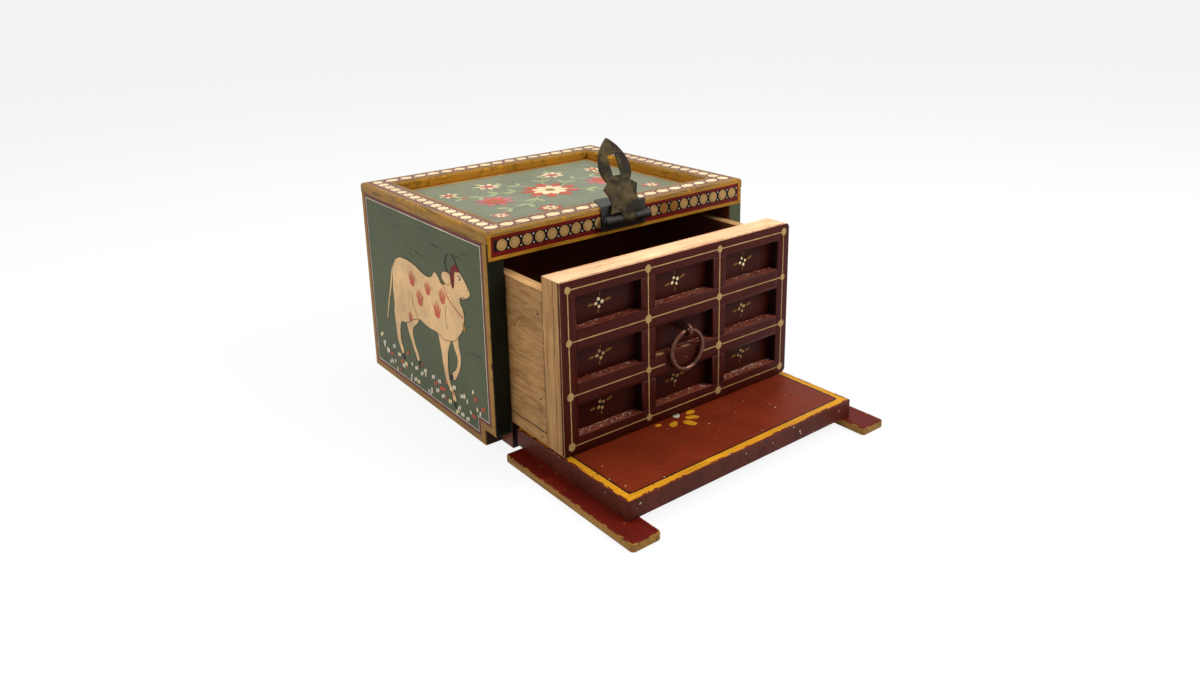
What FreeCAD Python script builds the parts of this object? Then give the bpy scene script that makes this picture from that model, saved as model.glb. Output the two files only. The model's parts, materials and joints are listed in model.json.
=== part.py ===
import FreeCAD, Part
import math
import os
from types import SimpleNamespace

import Sketcher

# A painted wooden trinket box: a small carcass with a framed top, one drawer behind a lattice
# front, an iron hasp on the front rail and a loose front panel on two slats, laid down ahead.
# Millimetres. X runs along the front to the right, Y to the back, Z up.
# The origin is the middle of the box's underside.

SIZES = {
    # carcass
    "box_width": 250.0,
    "box_depth": 210.0,
    "box_height": 169.0,
    "side_thick": 14.0,
    "back_thick": 12.0,
    "floor_thick": 21.0,
    "top_thick": 8.0,
    "rail_height": 13.3,
    "rail_thick": 16.0,
    "notch_depth": 16.0,
    "notch_height": 13.0,
    "side_round": 1.2,
    # mitred strips that frame the sunken top
    "strip_width": 22.5,
    "strip_height": 8.0,
    "strip_round": 2.5,
    # fixed half of the hasp, bent over the front edge of the top
    "hasp_offset": -3.5,
    "leaf_width": 43.0,
    "leaf_thick": 1.5,
    "leaf_drop": 18.0,
    "leaf_reach": 20.0,
    "leaf_tail": 24.0,
    # hinge of the hasp
    "pin_drop": 9.5,
    "pin_radius": 1.5,
    "pin_head": 2.2,
    "pin_head_thick": 1.0,
    "knuckle_radius": 3.6,
    "knuckle_width": 13.0,
    "neck_height": 4.0,
    "hinge_gap": 0.3,
    "bore_play": 0.06,
    # hasp strap, measured along it from the hinge pin
    "strap_lean_angle": 26.0,
    "strap_thick": 1.6,
    "strap_base": 4.3,
    "strap_base_width": 32.6,
    "shoulder_at": 23.7,
    "shoulder_width": 33.0,
    "waist_at": 28.2,
    "waist_width": 21.8,
    "head_at": 42.0,
    "head_width": 29.2,
    "strap_length": 63.0,
    "neck_arc": 15.3,
    "cheek_arc": 17.0,
    "tip_arc": 34.0,
    "slot_at": 33.0,
    "slot_length": 16.5,
    "slot_width": 8.2,
    # drawer
    "drawer_play": 0.8,
    "drawer_out": 66.1,
    "drawer_end_gap": 3.0,
    "drawer_wall": 9.0,
    "drawer_floor": 10.0,
    "drawer_side_height": 105.0,
    "drawer_back_height": 96.0,
    "front_board_thick": 13.0,
    # lattice on the drawer front
    "lattice_thick": 8.0,
    "frame_bar": 12.5,
    "cross_bar": 16.0,
    "upright_bar": 13.0,
    # pull ring on its eye
    "ring_diameter": 33.4,
    "ring_wire": 3.6,
    "ring_stand": 0.5,
    "eye_radius": 4.2,
    "eye_wire": 2.8,
    "eye_rise": 3.0,
    "ring_sag": 0.6,
    "shank_radius": 1.7,
    "shank_play": 0.1,
    "leg_length": 11.0,
    "ring_room": 9.0,
    # loose front panel
    "panel_play": 0.4,
    "panel_head_play": 0.6,
    "panel_thick": 13.8,
    "panel_round": 0.8,
    "panel_turn_angle": 0.8,
    "panel_gap": 5.2,
    "panel_shift": 1.5,
    "slat_width": 24.0,
    "slat_thick": 5.7,
    "slat_head_gap": 5.0,
    "slat_foot_play": 0.3,
    "slat_round": 3.0,
    "staple_wire": 2.4,
    "staple_span": 11.0,
    "staple_stand": 5.2,
    "staple_leg": 10.0,
    "staple_play": 0.05,
}

doc = FreeCAD.newDocument("trinket_box")
sheet = doc.addObject("Spreadsheet::Sheet", "sizes")


class Size:
    """A length with its value and the sheet expression that gives it."""

    def __init__(self, value, text):
        self.value = float(value)
        self.text = text

    def __add__(self, other):
        other = as_size(other)
        return Size(self.value + other.value, f"({self.text} + {other.text})")

    def __sub__(self, other):
        other = as_size(other)
        return Size(self.value - other.value, f"({self.text} - {other.text})")

    def __mul__(self, factor):
        return Size(self.value * factor, f"({self.text} * {factor})")

    def __truediv__(self, factor):
        return Size(self.value / factor, f"({self.text} / {factor})")

    def __neg__(self):
        return Size(-self.value, f"(0 - {self.text})")


def as_size(number):
    """The number as a Size."""
    if isinstance(number, Size):
        return number
    return Size(number, f"({float(number)})")


def fill_sheet():
    """Writes the driving sizes to the sheet and returns them by name."""
    named = {}
    for row, (name, value) in enumerate(SIZES.items(), start=1):
        sheet.set(f"A{row}", name)
        sheet.set(f"B{row}", str(value))
        sheet.setAlias(f"B{row}", name)
        named[name] = Size(value, f"sizes.{name}")
    doc.recompute()
    return SimpleNamespace(**named)


s = fill_sheet()
ZERO = as_size(0)
BOTH_WAYS = "Symmetric"


def bind(thing, path, size):
    """Ties one property to the sheet."""
    thing.setExpression(path, as_size(size).text)


def place(thing, x, y, z):
    """Ties the position to the sheet."""
    for axis, size in zip("xyz", (x, y, z)):
        bind(thing, f"Placement.Base.{axis}", size)


def turn(thing, axis, angle):
    """Ties the rotation about one axis to the sheet."""
    thing.Placement = FreeCAD.Placement(FreeCAD.Vector(), FreeCAD.Rotation(axis, as_size(angle).value))
    bind(thing, "Placement.Rotation.Angle", angle)


# Part primitives and booleans

ALONG = {
    "x": FreeCAD.Rotation(FreeCAD.Vector(0, 1, 0), 90),
    "y": FreeCAD.Rotation(FreeCAD.Vector(1, 0, 0), -90),
    "z": FreeCAD.Rotation(),
}


def board(name, low, high):
    """A plain squared board between two corners."""
    thing = doc.addObject("Part::Box", name)
    for side, near, far in zip(("Length", "Width", "Height"), low, high):
        bind(thing, side, as_size(far) - near)
    place(thing, *low)
    return thing


def rod(name, axis, start, length, radius):
    """A round rod from a start point along one axis."""
    thing = doc.addObject("Part::Cylinder", name)
    thing.Placement = FreeCAD.Placement(FreeCAD.Vector(), ALONG[axis])
    bind(thing, "Radius", radius)
    bind(thing, "Height", length)
    place(thing, *start)
    return thing


def hoop(name, axis, centre, radius, wire_radius):
    """A closed ring of round wire about one axis."""
    thing = doc.addObject("Part::Torus", name)
    thing.Placement = FreeCAD.Placement(FreeCAD.Vector(), ALONG[axis])
    bind(thing, "Radius1", radius)
    bind(thing, "Radius2", wire_radius)
    place(thing, *centre)
    return thing


def joined(name, things):
    """One solid from several that overlap."""
    fused = doc.addObject("Part::MultiFuse", name)
    fused.Shapes = things
    fused.Refine = True
    return fused


def without(name, base, tool):
    """The base with the tool's shape taken away."""
    cut = doc.addObject("Part::Cut", name)
    cut.Base = base
    cut.Tool = tool
    return cut


# sketched bodies

def new_body(name):
    return doc.addObject("PartDesign::Body", name)


def new_sketch(owner, plane, lift=ZERO):
    """An empty sketch on one of the body's own planes, lifted along its normal."""
    sketch = owner.newObject("Sketcher::SketchObject", f"{owner.Name}_sketch")
    support = [item for item in owner.Origin.OriginFeatures if item.Role == f"{plane}_Plane"]
    sketch.AttachmentSupport = [(support[0], "")]
    sketch.MapMode = "FlatFace"
    bind(sketch, "AttachmentOffset.Base.z", lift)
    return sketch


def rule(sketch, constraint, size):
    """Adds one dimension to the sketch and ties it to the sheet."""
    index = sketch.addConstraint(constraint)
    sketch.setExpression(f"Constraints[{index}]", size.text)


def fix_point(sketch, side, end, x, y):
    """Holds one end of a sketch side at a place measured from the sketch's origin."""
    rule(sketch, Sketcher.Constraint("DistanceX", -1, 1, side, end, x.value), x)
    rule(sketch, Sketcher.Constraint("DistanceY", -1, 1, side, end, y.value), y)


def arc_between(start, end, radius, bow):
    """An arc from start to end; bow is 1 where it swells to the left of the way, -1 to the right."""
    chord = end - start
    left = FreeCAD.Vector(-chord.y, chord.x, 0).normalize()
    reach = math.sqrt(radius ** 2 - (chord.Length / 2) ** 2)
    centre = (start + end) / 2 - left * reach * bow
    first, last = (end, start) if bow > 0 else (start, end)
    angles = [math.atan2(point.y - centre.y, point.x - centre.x) for point in (first, last)]
    if angles[1] < angles[0]:
        angles[1] += 2 * math.pi
    return Part.ArcOfCircle(Part.Circle(centre, FreeCAD.Vector(0, 0, 1), radius), *angles)


def outline(owner, plane, corners, arcs=None, lift=ZERO):
    """A closed sketch through the corners. arcs gives (radius, bow) for the sides that are round."""
    arcs = arcs or {}
    sketch = new_sketch(owner, plane, lift)
    corners = [(as_size(x), as_size(y)) for x, y in corners]
    points = [FreeCAD.Vector(x.value, y.value, 0) for x, y in corners]
    count = len(points)
    ends = []
    for side in range(count):
        start, end = points[side], points[(side + 1) % count]
        if side in arcs:
            radius, bow = arcs[side]
            sketch.addGeometry(arc_between(start, end, radius.value, bow))
            ends.append((2, 1) if bow > 0 else (1, 2))
        else:
            sketch.addGeometry(Part.LineSegment(start, end))
            ends.append((1, 2))
    for side in range(count):
        after = (side + 1) % count
        sketch.addConstraint(Sketcher.Constraint("Coincident", side, ends[side][1], after, ends[after][0]))
    for side, (x, y) in enumerate(corners):
        fix_point(sketch, side, ends[side][0], x, y)
    for side, (radius, bow) in arcs.items():
        rule(sketch, Sketcher.Constraint("Radius", side, radius.value), radius)
    return sketch


def circles(owner, plane, centres, radius, lift=ZERO):
    """A sketch of equal circles."""
    sketch = new_sketch(owner, plane, lift)
    radius = as_size(radius)
    for index, (x, y) in enumerate(centres):
        x, y = as_size(x), as_size(y)
        middle = FreeCAD.Vector(x.value, y.value, 0)
        sketch.addGeometry(Part.Circle(middle, FreeCAD.Vector(0, 0, 1), radius.value))
        fix_point(sketch, index, 3, x, y)
        rule(sketch, Sketcher.Constraint("Radius", index, radius.value), radius)
    return sketch


def pad(owner, sketch, length, sides="One side"):
    feature = owner.newObject("PartDesign::Pad", f"{owner.Name}_pad")
    feature.Profile = sketch
    feature.SideType = sides
    bind(feature, "Length", length)
    doc.recompute()
    return feature


def pocket(owner, sketch, length, sides=BOTH_WAYS):
    """Cuts the sketch out of the body, and stops if nothing was cut."""
    before = owner.Shape.Volume
    feature = owner.newObject("PartDesign::Pocket", f"{owner.Name}_pocket")
    feature.Profile = sketch
    feature.SideType = sides
    bind(feature, "Length", length)
    doc.recompute()
    if owner.Shape.Volume >= before:
        raise RuntimeError(f"the pocket in {owner.Name} cuts nothing")
    return feature


def rounded(owner, feature, radius, wanted):
    """Rounds the edges whose two ends the test wants."""
    chosen = []
    for number, edge in enumerate(feature.Shape.Edges, start=1):
        ends = [vertex.Point for vertex in edge.Vertexes]
        if len(ends) == 2 and wanted(*ends):
            chosen.append(f"Edge{number}")
    fillet = owner.newObject("PartDesign::Fillet", f"{owner.Name}_round")
    fillet.Base = (feature, chosen)
    bind(fillet, "Radius", radius)
    doc.recompute()
    return fillet


def near(a, b):
    return abs(a - b) < 1e-6


# planes that several pieces share

half_width = s.box_width / 2
half_depth = s.box_depth / 2
inner = half_width - s.side_thick
front = -half_depth
carcass_top = s.box_height - s.strip_height
rail_bottom = carcass_top - s.rail_height
back_inner = half_depth - s.back_thick

pin_y = front - s.leaf_thick - s.knuckle_radius - s.hinge_gap
pin_z = s.box_height - s.pin_drop

drawer_half = inner - s.drawer_play
drawer_face = front - s.drawer_out
lattice_back = drawer_face + s.lattice_thick
front_board_back = lattice_back + s.front_board_thick
drawer_length = s.box_depth - s.back_thick - s.drawer_end_gap - s.panel_thick - s.ring_room
drawer_end = drawer_face + drawer_length
drawer_low = s.floor_thick
drawer_high = rail_bottom - s.drawer_play
drawer_floor_top = drawer_low + s.drawer_floor


# carcass

def side_panel(name, left):
    """A side of the box, with the finger notch in its lower front corner."""
    body = new_body(name)
    notch_back = front + s.notch_depth
    profile = outline(body, "YZ", [
        (front, s.notch_height),
        (notch_back, s.notch_height),
        (notch_back, 0),
        (half_depth, 0),
        (half_depth, carcass_top),
        (front, carcass_top),
    ])
    slab = pad(body, profile, s.side_thick)
    outer = 0 if left else s.side_thick.value

    def on_outer_face(start, end):
        under_strip = near(start.z, carcass_top.value) and near(end.z, carcass_top.value)
        return near(start.x, outer) and near(end.x, outer) and not under_strip

    rounded(body, slab, s.side_round, on_outer_face)
    place(body, -half_width if left else inner, 0, 0)
    return body


def carcass_boards():
    """The boards between the two sides."""
    behind_rail = front + s.rail_thick
    return [
        board("bottom_board", (-inner, front, ZERO), (inner, back_inner, s.floor_thick)),
        board("back_panel", (-inner, back_inner, ZERO), (inner, half_depth, carcass_top)),
        board("front_rail", (-inner, front, rail_bottom), (inner, behind_rail, carcass_top)),
        board("top_board", (-inner, behind_rail, carcass_top - s.top_thick), (inner, back_inner, carcass_top)),
    ]


def top_strip(name, turned, length, reach):
    """One mitred strip of the top's frame, with both long upper edges rounded.

    It is drawn as the front strip of a frame whose front is reach away from the middle.
    """
    body = new_body(name)
    half = length / 2
    plan = outline(body, "XY", [
        (-half, -reach),
        (half, -reach),
        (half - s.strip_width, s.strip_width - reach),
        (s.strip_width - half, s.strip_width - reach),
    ])
    bar = pad(body, plan, s.strip_height)

    def along_the_top(start, end):
        on_top = near(start.z, s.strip_height.value) and near(end.z, s.strip_height.value)
        return on_top and near(start.y, end.y)

    rounded(body, bar, s.strip_round, along_the_top)
    turn(body, FreeCAD.Vector(0, 0, 1), turned)
    place(body, 0, 0, carcass_top)
    return body


def top_frame():
    return [
        top_strip("top_strip_front", 0, s.box_width, half_depth),
        top_strip("top_strip_right", 90, s.box_depth, half_width),
        top_strip("top_strip_back", 180, s.box_width, half_depth),
        top_strip("top_strip_left", 270, s.box_depth, half_width),
    ]


# hasp

def hasp_fixed_leaf():
    """The plate on the rail, bent over the top's edge, with the two outer knuckles."""
    half = s.leaf_width / 2
    gap_half = s.knuckle_width / 2
    bend = front - s.leaf_thick
    top = s.box_height + s.leaf_thick
    plate = board(
        "leaf_plate",
        (s.hasp_offset - half, bend, s.box_height - s.leaf_drop),
        (s.hasp_offset + half, front, top),
    )
    tail = doc.addObject("Part::Wedge", "leaf_tail")
    for path, size in {
        "Xmin": -half, "Xmax": half, "X2min": -s.leaf_tail / 2, "X2max": s.leaf_tail / 2,
        "Ymin": -s.leaf_thick, "Ymax": s.leaf_reach,
        "Zmin": ZERO, "Zmax": s.leaf_thick, "Z2min": ZERO, "Z2max": s.leaf_thick,
    }.items():
        bind(tail, path, size)
    place(tail, s.hasp_offset, front, s.box_height)
    pieces = [plate, tail]
    for word, start in (("left", -half), ("right", gap_half)):
        x = s.hasp_offset + start
        width = half - gap_half
        pieces.append(rod(f"knuckle_{word}", "x", (x, pin_y, pin_z), width, s.knuckle_radius))
        pieces.append(board(
            f"knuckle_neck_{word}",
            (x, pin_y, pin_z - s.neck_height / 2),
            (x + width, front - s.leaf_thick / 2, pin_z + s.neck_height / 2),
        ))
    bore = rod("leaf_bore", "x", (s.hasp_offset - s.leaf_width, pin_y, pin_z), s.leaf_width * 2,
               s.pin_radius + s.bore_play)
    return without("hasp_fixed_leaf", joined("leaf_with_knuckles", pieces), bore)


def hasp_hinge_pin():
    """The pin through the three knuckles, with a flattened head at each end."""
    half = s.leaf_width / 2 + s.hinge_gap
    left_end = s.hasp_offset - half - s.pin_head_thick
    length = (half + s.pin_head_thick) * 2
    pieces = [rod("pin_shaft", "x", (left_end, pin_y, pin_z), length, s.pin_radius)]
    for word, x in (("left", left_end), ("right", s.hasp_offset + half)):
        pieces.append(rod(f"pin_head_{word}", "x", (x, pin_y, pin_z), s.pin_head_thick, s.pin_head))
    return joined("hasp_hinge_pin", pieces)


def hasp_strap():
    """The swinging strap: a leaf-shaped head with a slot, a waist, shoulders and a curled knuckle."""
    body = new_body("hasp_strap")
    knuckle = s.knuckle_width / 2 - s.hinge_gap
    half_base = s.strap_base_width / 2
    half_shoulder = s.shoulder_width / 2
    half_waist = s.waist_width / 2
    half_head = s.head_width / 2
    right = [
        (knuckle, ZERO),
        (knuckle, s.strap_base),
        (half_base, s.strap_base),
        (half_shoulder, s.shoulder_at),
        (half_waist, s.waist_at),
        (half_head, s.head_at),
    ]
    tip = [(ZERO, s.strap_length)]
    left = [(-x, z) for x, z in reversed(right)]
    arcs = {
        2: (s.neck_arc, 1), 4: (s.cheek_arc, -1), 5: (s.tip_arc, -1),
        6: (s.tip_arc, -1), 7: (s.cheek_arc, -1), 9: (s.neck_arc, 1),
    }
    plate = outline(body, "XZ", right + tip + left, arcs, lift=s.knuckle_radius - s.strap_thick)
    pad(body, plate, s.strap_thick)
    pad(body, circles(body, "YZ", [(0, 0)], s.knuckle_radius), knuckle * 2, BOTH_WAYS)
    bore = circles(body, "YZ", [(0, 0)], s.pin_radius + s.bore_play)
    pocket(body, bore, s.knuckle_width * 2)
    half_slot = s.slot_width / 2
    slot_end = s.slot_at + s.slot_length
    slot = outline(body, "XZ", [
        (-half_slot, s.slot_at), (half_slot, s.slot_at), (half_slot, slot_end), (-half_slot, slot_end),
    ])
    pocket(body, slot, s.knuckle_radius * 4)
    turn(body, FreeCAD.Vector(-1, 0, 0), s.strap_lean_angle)
    place(body, s.hasp_offset, pin_y, pin_z)
    return body


# drawer

cell_width = (drawer_half * 2 - s.frame_bar * 2 - s.upright_bar * 2) / 3
cell_height = (drawer_high - drawer_low - s.frame_bar * 2 - s.cross_bar * 2) / 3
middle_z = (drawer_high + drawer_low) / 2
eye_y = drawer_face - s.ring_wire / 2 - s.ring_stand
eye_z = middle_z + s.eye_rise


def drawer_box():
    """The drawer's raw boards: the sides and back stand on the bottom, behind the front board."""
    wall_in = drawer_half - s.drawer_wall
    back_front = drawer_end - s.drawer_wall
    side_top = drawer_floor_top + s.drawer_side_height
    back_top = drawer_floor_top + s.drawer_back_height
    plain_front = board("front_board_plain", (-drawer_half, lattice_back, drawer_low),
                        (drawer_half, front_board_back, drawer_high))
    hole = rod("shank_hole", "y", (ZERO, lattice_back - s.lattice_thick, eye_z),
               s.front_board_thick + s.lattice_thick * 2, s.shank_radius + s.shank_play)
    return [
        without("drawer_front_board", plain_front, hole),
        board("drawer_bottom", (-drawer_half, front_board_back, drawer_low),
              (drawer_half, drawer_end, drawer_floor_top)),
        board("drawer_side_left", (-drawer_half, front_board_back, drawer_floor_top),
              (-wall_in, drawer_end, side_top)),
        board("drawer_side_right", (wall_in, front_board_back, drawer_floor_top),
              (drawer_half, drawer_end, side_top)),
        board("drawer_back", (-wall_in, back_front, drawer_floor_top), (wall_in, drawer_end, back_top)),
    ]


def lattice_frame_bar(name, corners):
    """One mitred bar round the lattice, drawn from the front."""
    body = new_body(name)
    pad(body, outline(body, "XZ", corners), s.lattice_thick)
    place(body, 0, lattice_back, 0)
    return body


def lattice_frame():
    """The four mitred bars round the lattice."""
    left, right = -drawer_half, drawer_half
    low, high = drawer_low, drawer_high
    in_left, in_right = left + s.frame_bar, right - s.frame_bar
    in_low, in_high = low + s.frame_bar, high - s.frame_bar
    return [
        lattice_frame_bar("lattice_frame_bottom", [(left, low), (right, low), (in_right, in_low), (in_left, in_low)]),
        lattice_frame_bar("lattice_frame_top", [(left, high), (in_left, in_high), (in_right, in_high), (right, high)]),
        lattice_frame_bar("lattice_frame_left", [(left, low), (in_left, in_low), (in_left, in_high), (left, high)]),
        lattice_frame_bar("lattice_frame_right", [(right, low), (right, high), (in_right, in_high), (in_right, in_low)]),
    ]


def lattice_bars():
    """Two level and two upright bars, half lapped where they cross, inside the mitred frame."""
    in_right = drawer_half - s.frame_bar
    in_low = drawer_low + s.frame_bar
    in_high = drawer_high - s.frame_bar
    lap = drawer_face + s.lattice_thick / 2
    uprights = {"left": -cell_width / 2 - s.upright_bar, "right": cell_width / 2}
    levels = {"lower": in_low + cell_height, "upper": in_low + cell_height * 2 + s.cross_bar}
    bars = []
    for word, z in levels.items():
        bar = board(f"level_{word}", (-in_right, drawer_face, z), (in_right, lattice_back, z + s.cross_bar))
        laps = [
            board(f"lap_{word}_{side}", (x, lap, z), (x + s.upright_bar, lattice_back, z + s.cross_bar))
            for side, x in uprights.items()
        ]
        bars.append(without(f"lattice_bar_{word}", bar, joined(f"laps_{word}", laps)))
    for side, x in uprights.items():
        bar = board(f"upright_{side}", (x, drawer_face, in_low), (x + s.upright_bar, lattice_back, in_high))
        laps = [
            board(f"lap_{side}_{word}", (x, drawer_face, z), (x + s.upright_bar, lap, z + s.cross_bar))
            for word, z in levels.items()
        ]
        bars.append(without(f"lattice_bar_{side}", bar, joined(f"laps_{side}", laps)))
    return bars


def ring_staple():
    """The eye that carries the ring, with its shank through the board and its legs bent apart inside."""
    leg_y = front_board_back + s.eye_wire / 2
    shank_start = eye_y + s.eye_radius
    pieces = [
        hoop("eye_loop", "x", (ZERO, eye_y, eye_z), s.eye_radius, s.eye_wire / 2),
        rod("eye_shank", "y", (ZERO, shank_start, eye_z), leg_y - shank_start, s.shank_radius),
        rod("eye_legs", "x", (-s.leg_length, leg_y, eye_z), s.leg_length * 2, s.eye_wire / 2),
    ]
    return joined("ring_staple", pieces)


def pull_ring():
    """The iron ring, hanging in its eye just clear of the lattice."""
    wire = s.ring_wire / 2
    radius = s.ring_diameter / 2 - wire
    return hoop("pull_ring", "y", (ZERO, eye_y, eye_z - s.ring_sag - radius), radius, wire)


# loose front panel, drawn from the middle of its front edge at floor level

panel_half = inner - s.panel_play
panel_height = rail_bottom - s.floor_thick - s.panel_head_play
slat_foot = s.slat_foot_play - s.floor_thick
slat_head = panel_height - s.slat_head_gap
staple_y = pin_z - s.slot_at - s.slot_length / 2 - s.floor_thick
staple_ends = [staple_y - s.staple_span / 2, staple_y + s.staple_span / 2]


def lay_down(thing):
    """Moves a piece of the panel to where the panel lies, slightly askew in front of the box."""
    turn(thing, FreeCAD.Vector(0, 0, 1), s.panel_turn_angle)
    place(thing, s.panel_shift, front - s.panel_gap - panel_height, 0)
    return thing


def front_panel_board():
    """The panel's board, inner face up, with two blind holes below for its staple."""
    body = new_body("front_panel_board")
    plan = outline(body, "XY", [
        (-panel_half, 0), (panel_half, 0), (panel_half, panel_height), (-panel_half, panel_height),
    ], lift=s.slat_thick)
    slab = pad(body, plan, s.panel_thick)
    rounded(body, slab, s.panel_round, lambda start, end: near(start.z, end.z) and start.z > s.slat_thick.value + 1)
    holes = circles(body, "XY", [(-s.hasp_offset, y) for y in staple_ends],
                    s.staple_wire / 2 + s.staple_play, lift=s.slat_thick)
    pocket(body, holes, s.staple_leg * 2)
    return lay_down(body)


def front_slat(name, left):
    """A slat under the panel's edge: it overlaps a side's front edge when the panel is in place."""
    body = new_body(name)
    outer = half_width
    low_x, high_x = (-outer, s.slat_width - outer) if left else (outer - s.slat_width, outer)
    plan = outline(body, "XY", [
        (low_x, slat_foot), (high_x, slat_foot), (high_x, slat_head), (low_x, slat_head),
    ])
    slab = pad(body, plan, s.slat_thick)
    rounded(body, slab, s.slat_round, lambda start, end: not near(start.z, end.z))
    return lay_down(body)


def panel_staple():
    """The low wire staple that the hasp's slot goes over."""
    wire = s.staple_wire / 2
    bar_z = s.slat_thick - s.staple_stand + wire
    x = -s.hasp_offset
    low_y, high_y = staple_ends
    leg = s.slat_thick + s.staple_leg - s.staple_play - bar_z
    pieces = [rod("staple_bar", "y", (x, low_y, bar_z), s.staple_span, wire)]
    for word, y in (("near", low_y), ("far", high_y)):
        pieces.append(rod(f"staple_leg_{word}", "z", (x, y, bar_z), leg, wire))
        corner = doc.addObject("Part::Sphere", f"staple_corner_{word}")
        bind(corner, "Radius", wire)
        place(corner, x, y, bar_z)
        pieces.append(corner)
    return lay_down(joined("panel_staple", pieces))


def build():
    """Every separate piece, in the order it would be put together."""
    nodes = [side_panel("side_left", True), side_panel("side_right", False)]
    nodes += carcass_boards()
    nodes += top_frame()
    nodes += [hasp_fixed_leaf(), hasp_hinge_pin(), hasp_strap()]
    nodes += drawer_box()
    nodes += lattice_frame()
    nodes += lattice_bars()
    nodes += [ring_staple(), pull_ring()]
    nodes += [front_panel_board(), front_slat("front_slat_left", True), front_slat("front_slat_right", False)]
    nodes += [panel_staple()]
    return nodes


def check(nodes):
    """Stops on any failed object, and on any piece that isn't one sound solid."""
    doc.recompute()
    for thing in doc.Objects:
        if "Invalid" in thing.State or "Error" in thing.State:
            raise RuntimeError(f"{thing.Name} failed: {thing.State}")
    for node in nodes:
        shape = node.Shape
        if shape.isNull() or not shape.isValid() or len(shape.Solids) != 1:
            raise RuntimeError(f"{node.Label} is not one sound solid")


def write(nodes):
    os.makedirs("parts", exist_ok=True)
    for node in nodes:
        node.Shape.exportStep(f"parts/{node.Label}.step")
        print(f"{node.Label}: {node.Shape.Volume / 1000:.2f} cm3")


pieces = build()
check(pieces)
write(pieces)
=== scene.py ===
import json
import math
import random

import bmesh
import bpy
from mathutils import Matrix, Vector, noise

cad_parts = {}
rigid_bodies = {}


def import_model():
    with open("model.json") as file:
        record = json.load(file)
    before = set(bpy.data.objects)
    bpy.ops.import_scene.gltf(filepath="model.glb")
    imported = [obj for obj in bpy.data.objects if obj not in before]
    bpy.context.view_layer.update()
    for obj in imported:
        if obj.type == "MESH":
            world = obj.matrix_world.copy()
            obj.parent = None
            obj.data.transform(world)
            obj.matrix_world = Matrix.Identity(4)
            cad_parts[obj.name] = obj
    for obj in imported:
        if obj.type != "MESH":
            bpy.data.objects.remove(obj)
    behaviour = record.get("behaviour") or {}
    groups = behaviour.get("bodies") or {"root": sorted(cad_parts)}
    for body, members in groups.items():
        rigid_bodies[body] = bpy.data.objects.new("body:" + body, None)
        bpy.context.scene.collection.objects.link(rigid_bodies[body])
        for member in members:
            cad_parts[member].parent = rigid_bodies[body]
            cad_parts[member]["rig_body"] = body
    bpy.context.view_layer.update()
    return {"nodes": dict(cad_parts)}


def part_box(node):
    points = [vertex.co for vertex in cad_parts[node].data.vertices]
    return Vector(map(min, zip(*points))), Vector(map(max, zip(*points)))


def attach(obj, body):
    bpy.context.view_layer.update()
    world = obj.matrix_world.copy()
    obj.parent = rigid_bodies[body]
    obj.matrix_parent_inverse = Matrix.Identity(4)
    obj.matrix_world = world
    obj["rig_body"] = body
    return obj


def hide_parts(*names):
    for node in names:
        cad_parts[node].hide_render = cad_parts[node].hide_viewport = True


bl_info = {
    "name": "Painted Trinket Box",
    "version": (1, 0, 0),
    "blender": (4, 5, 0),
    "location": "View3D > Sidebar > Trinket Box",
    "description": "Softens, paints and lights the solids of a small painted wooden box with one drawer",
    "category": "Add Mesh",
}

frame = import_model()
MM = 0.001


# settings

def tone(red, green, blue):
    """A colour as it looks on screen, 0 to 255, in Blender's linear light."""
    levels = [level / 255 for level in (red, green, blue)]
    return tuple(v / 12.92 if v <= 0.04045 else ((v + 0.055) / 1.055) ** 2.4 for v in levels)


def colour(name, description, red, green, blue):
    """A colour setting."""
    return bpy.props.FloatVectorProperty(
        name=name, description=description, subtype="COLOR", size=3, min=0.0, max=1.0,
        default=tone(red, green, blue),
    )


def length(name, description, millimetres):
    """A length setting."""
    return bpy.props.FloatProperty(
        name=name, description=description, unit="LENGTH", precision=5, default=millimetres * MM,
    )


def angle(name, description, degrees):
    """An angle setting."""
    return bpy.props.FloatProperty(
        name=name, description=description, subtype="ANGLE", unit="ROTATION", default=math.radians(degrees),
    )


def spot(name, description, *metres):
    """A setting for a point in space."""
    return bpy.props.FloatVectorProperty(
        name=name, description=description, subtype="TRANSLATION", unit="LENGTH", size=3, default=metres,
    )


def amount(name, description, value, subtype="NONE"):
    """A setting that is a number."""
    return bpy.props.FloatProperty(
        name=name, description=description, subtype=subtype, precision=4, default=value,
    )


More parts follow.
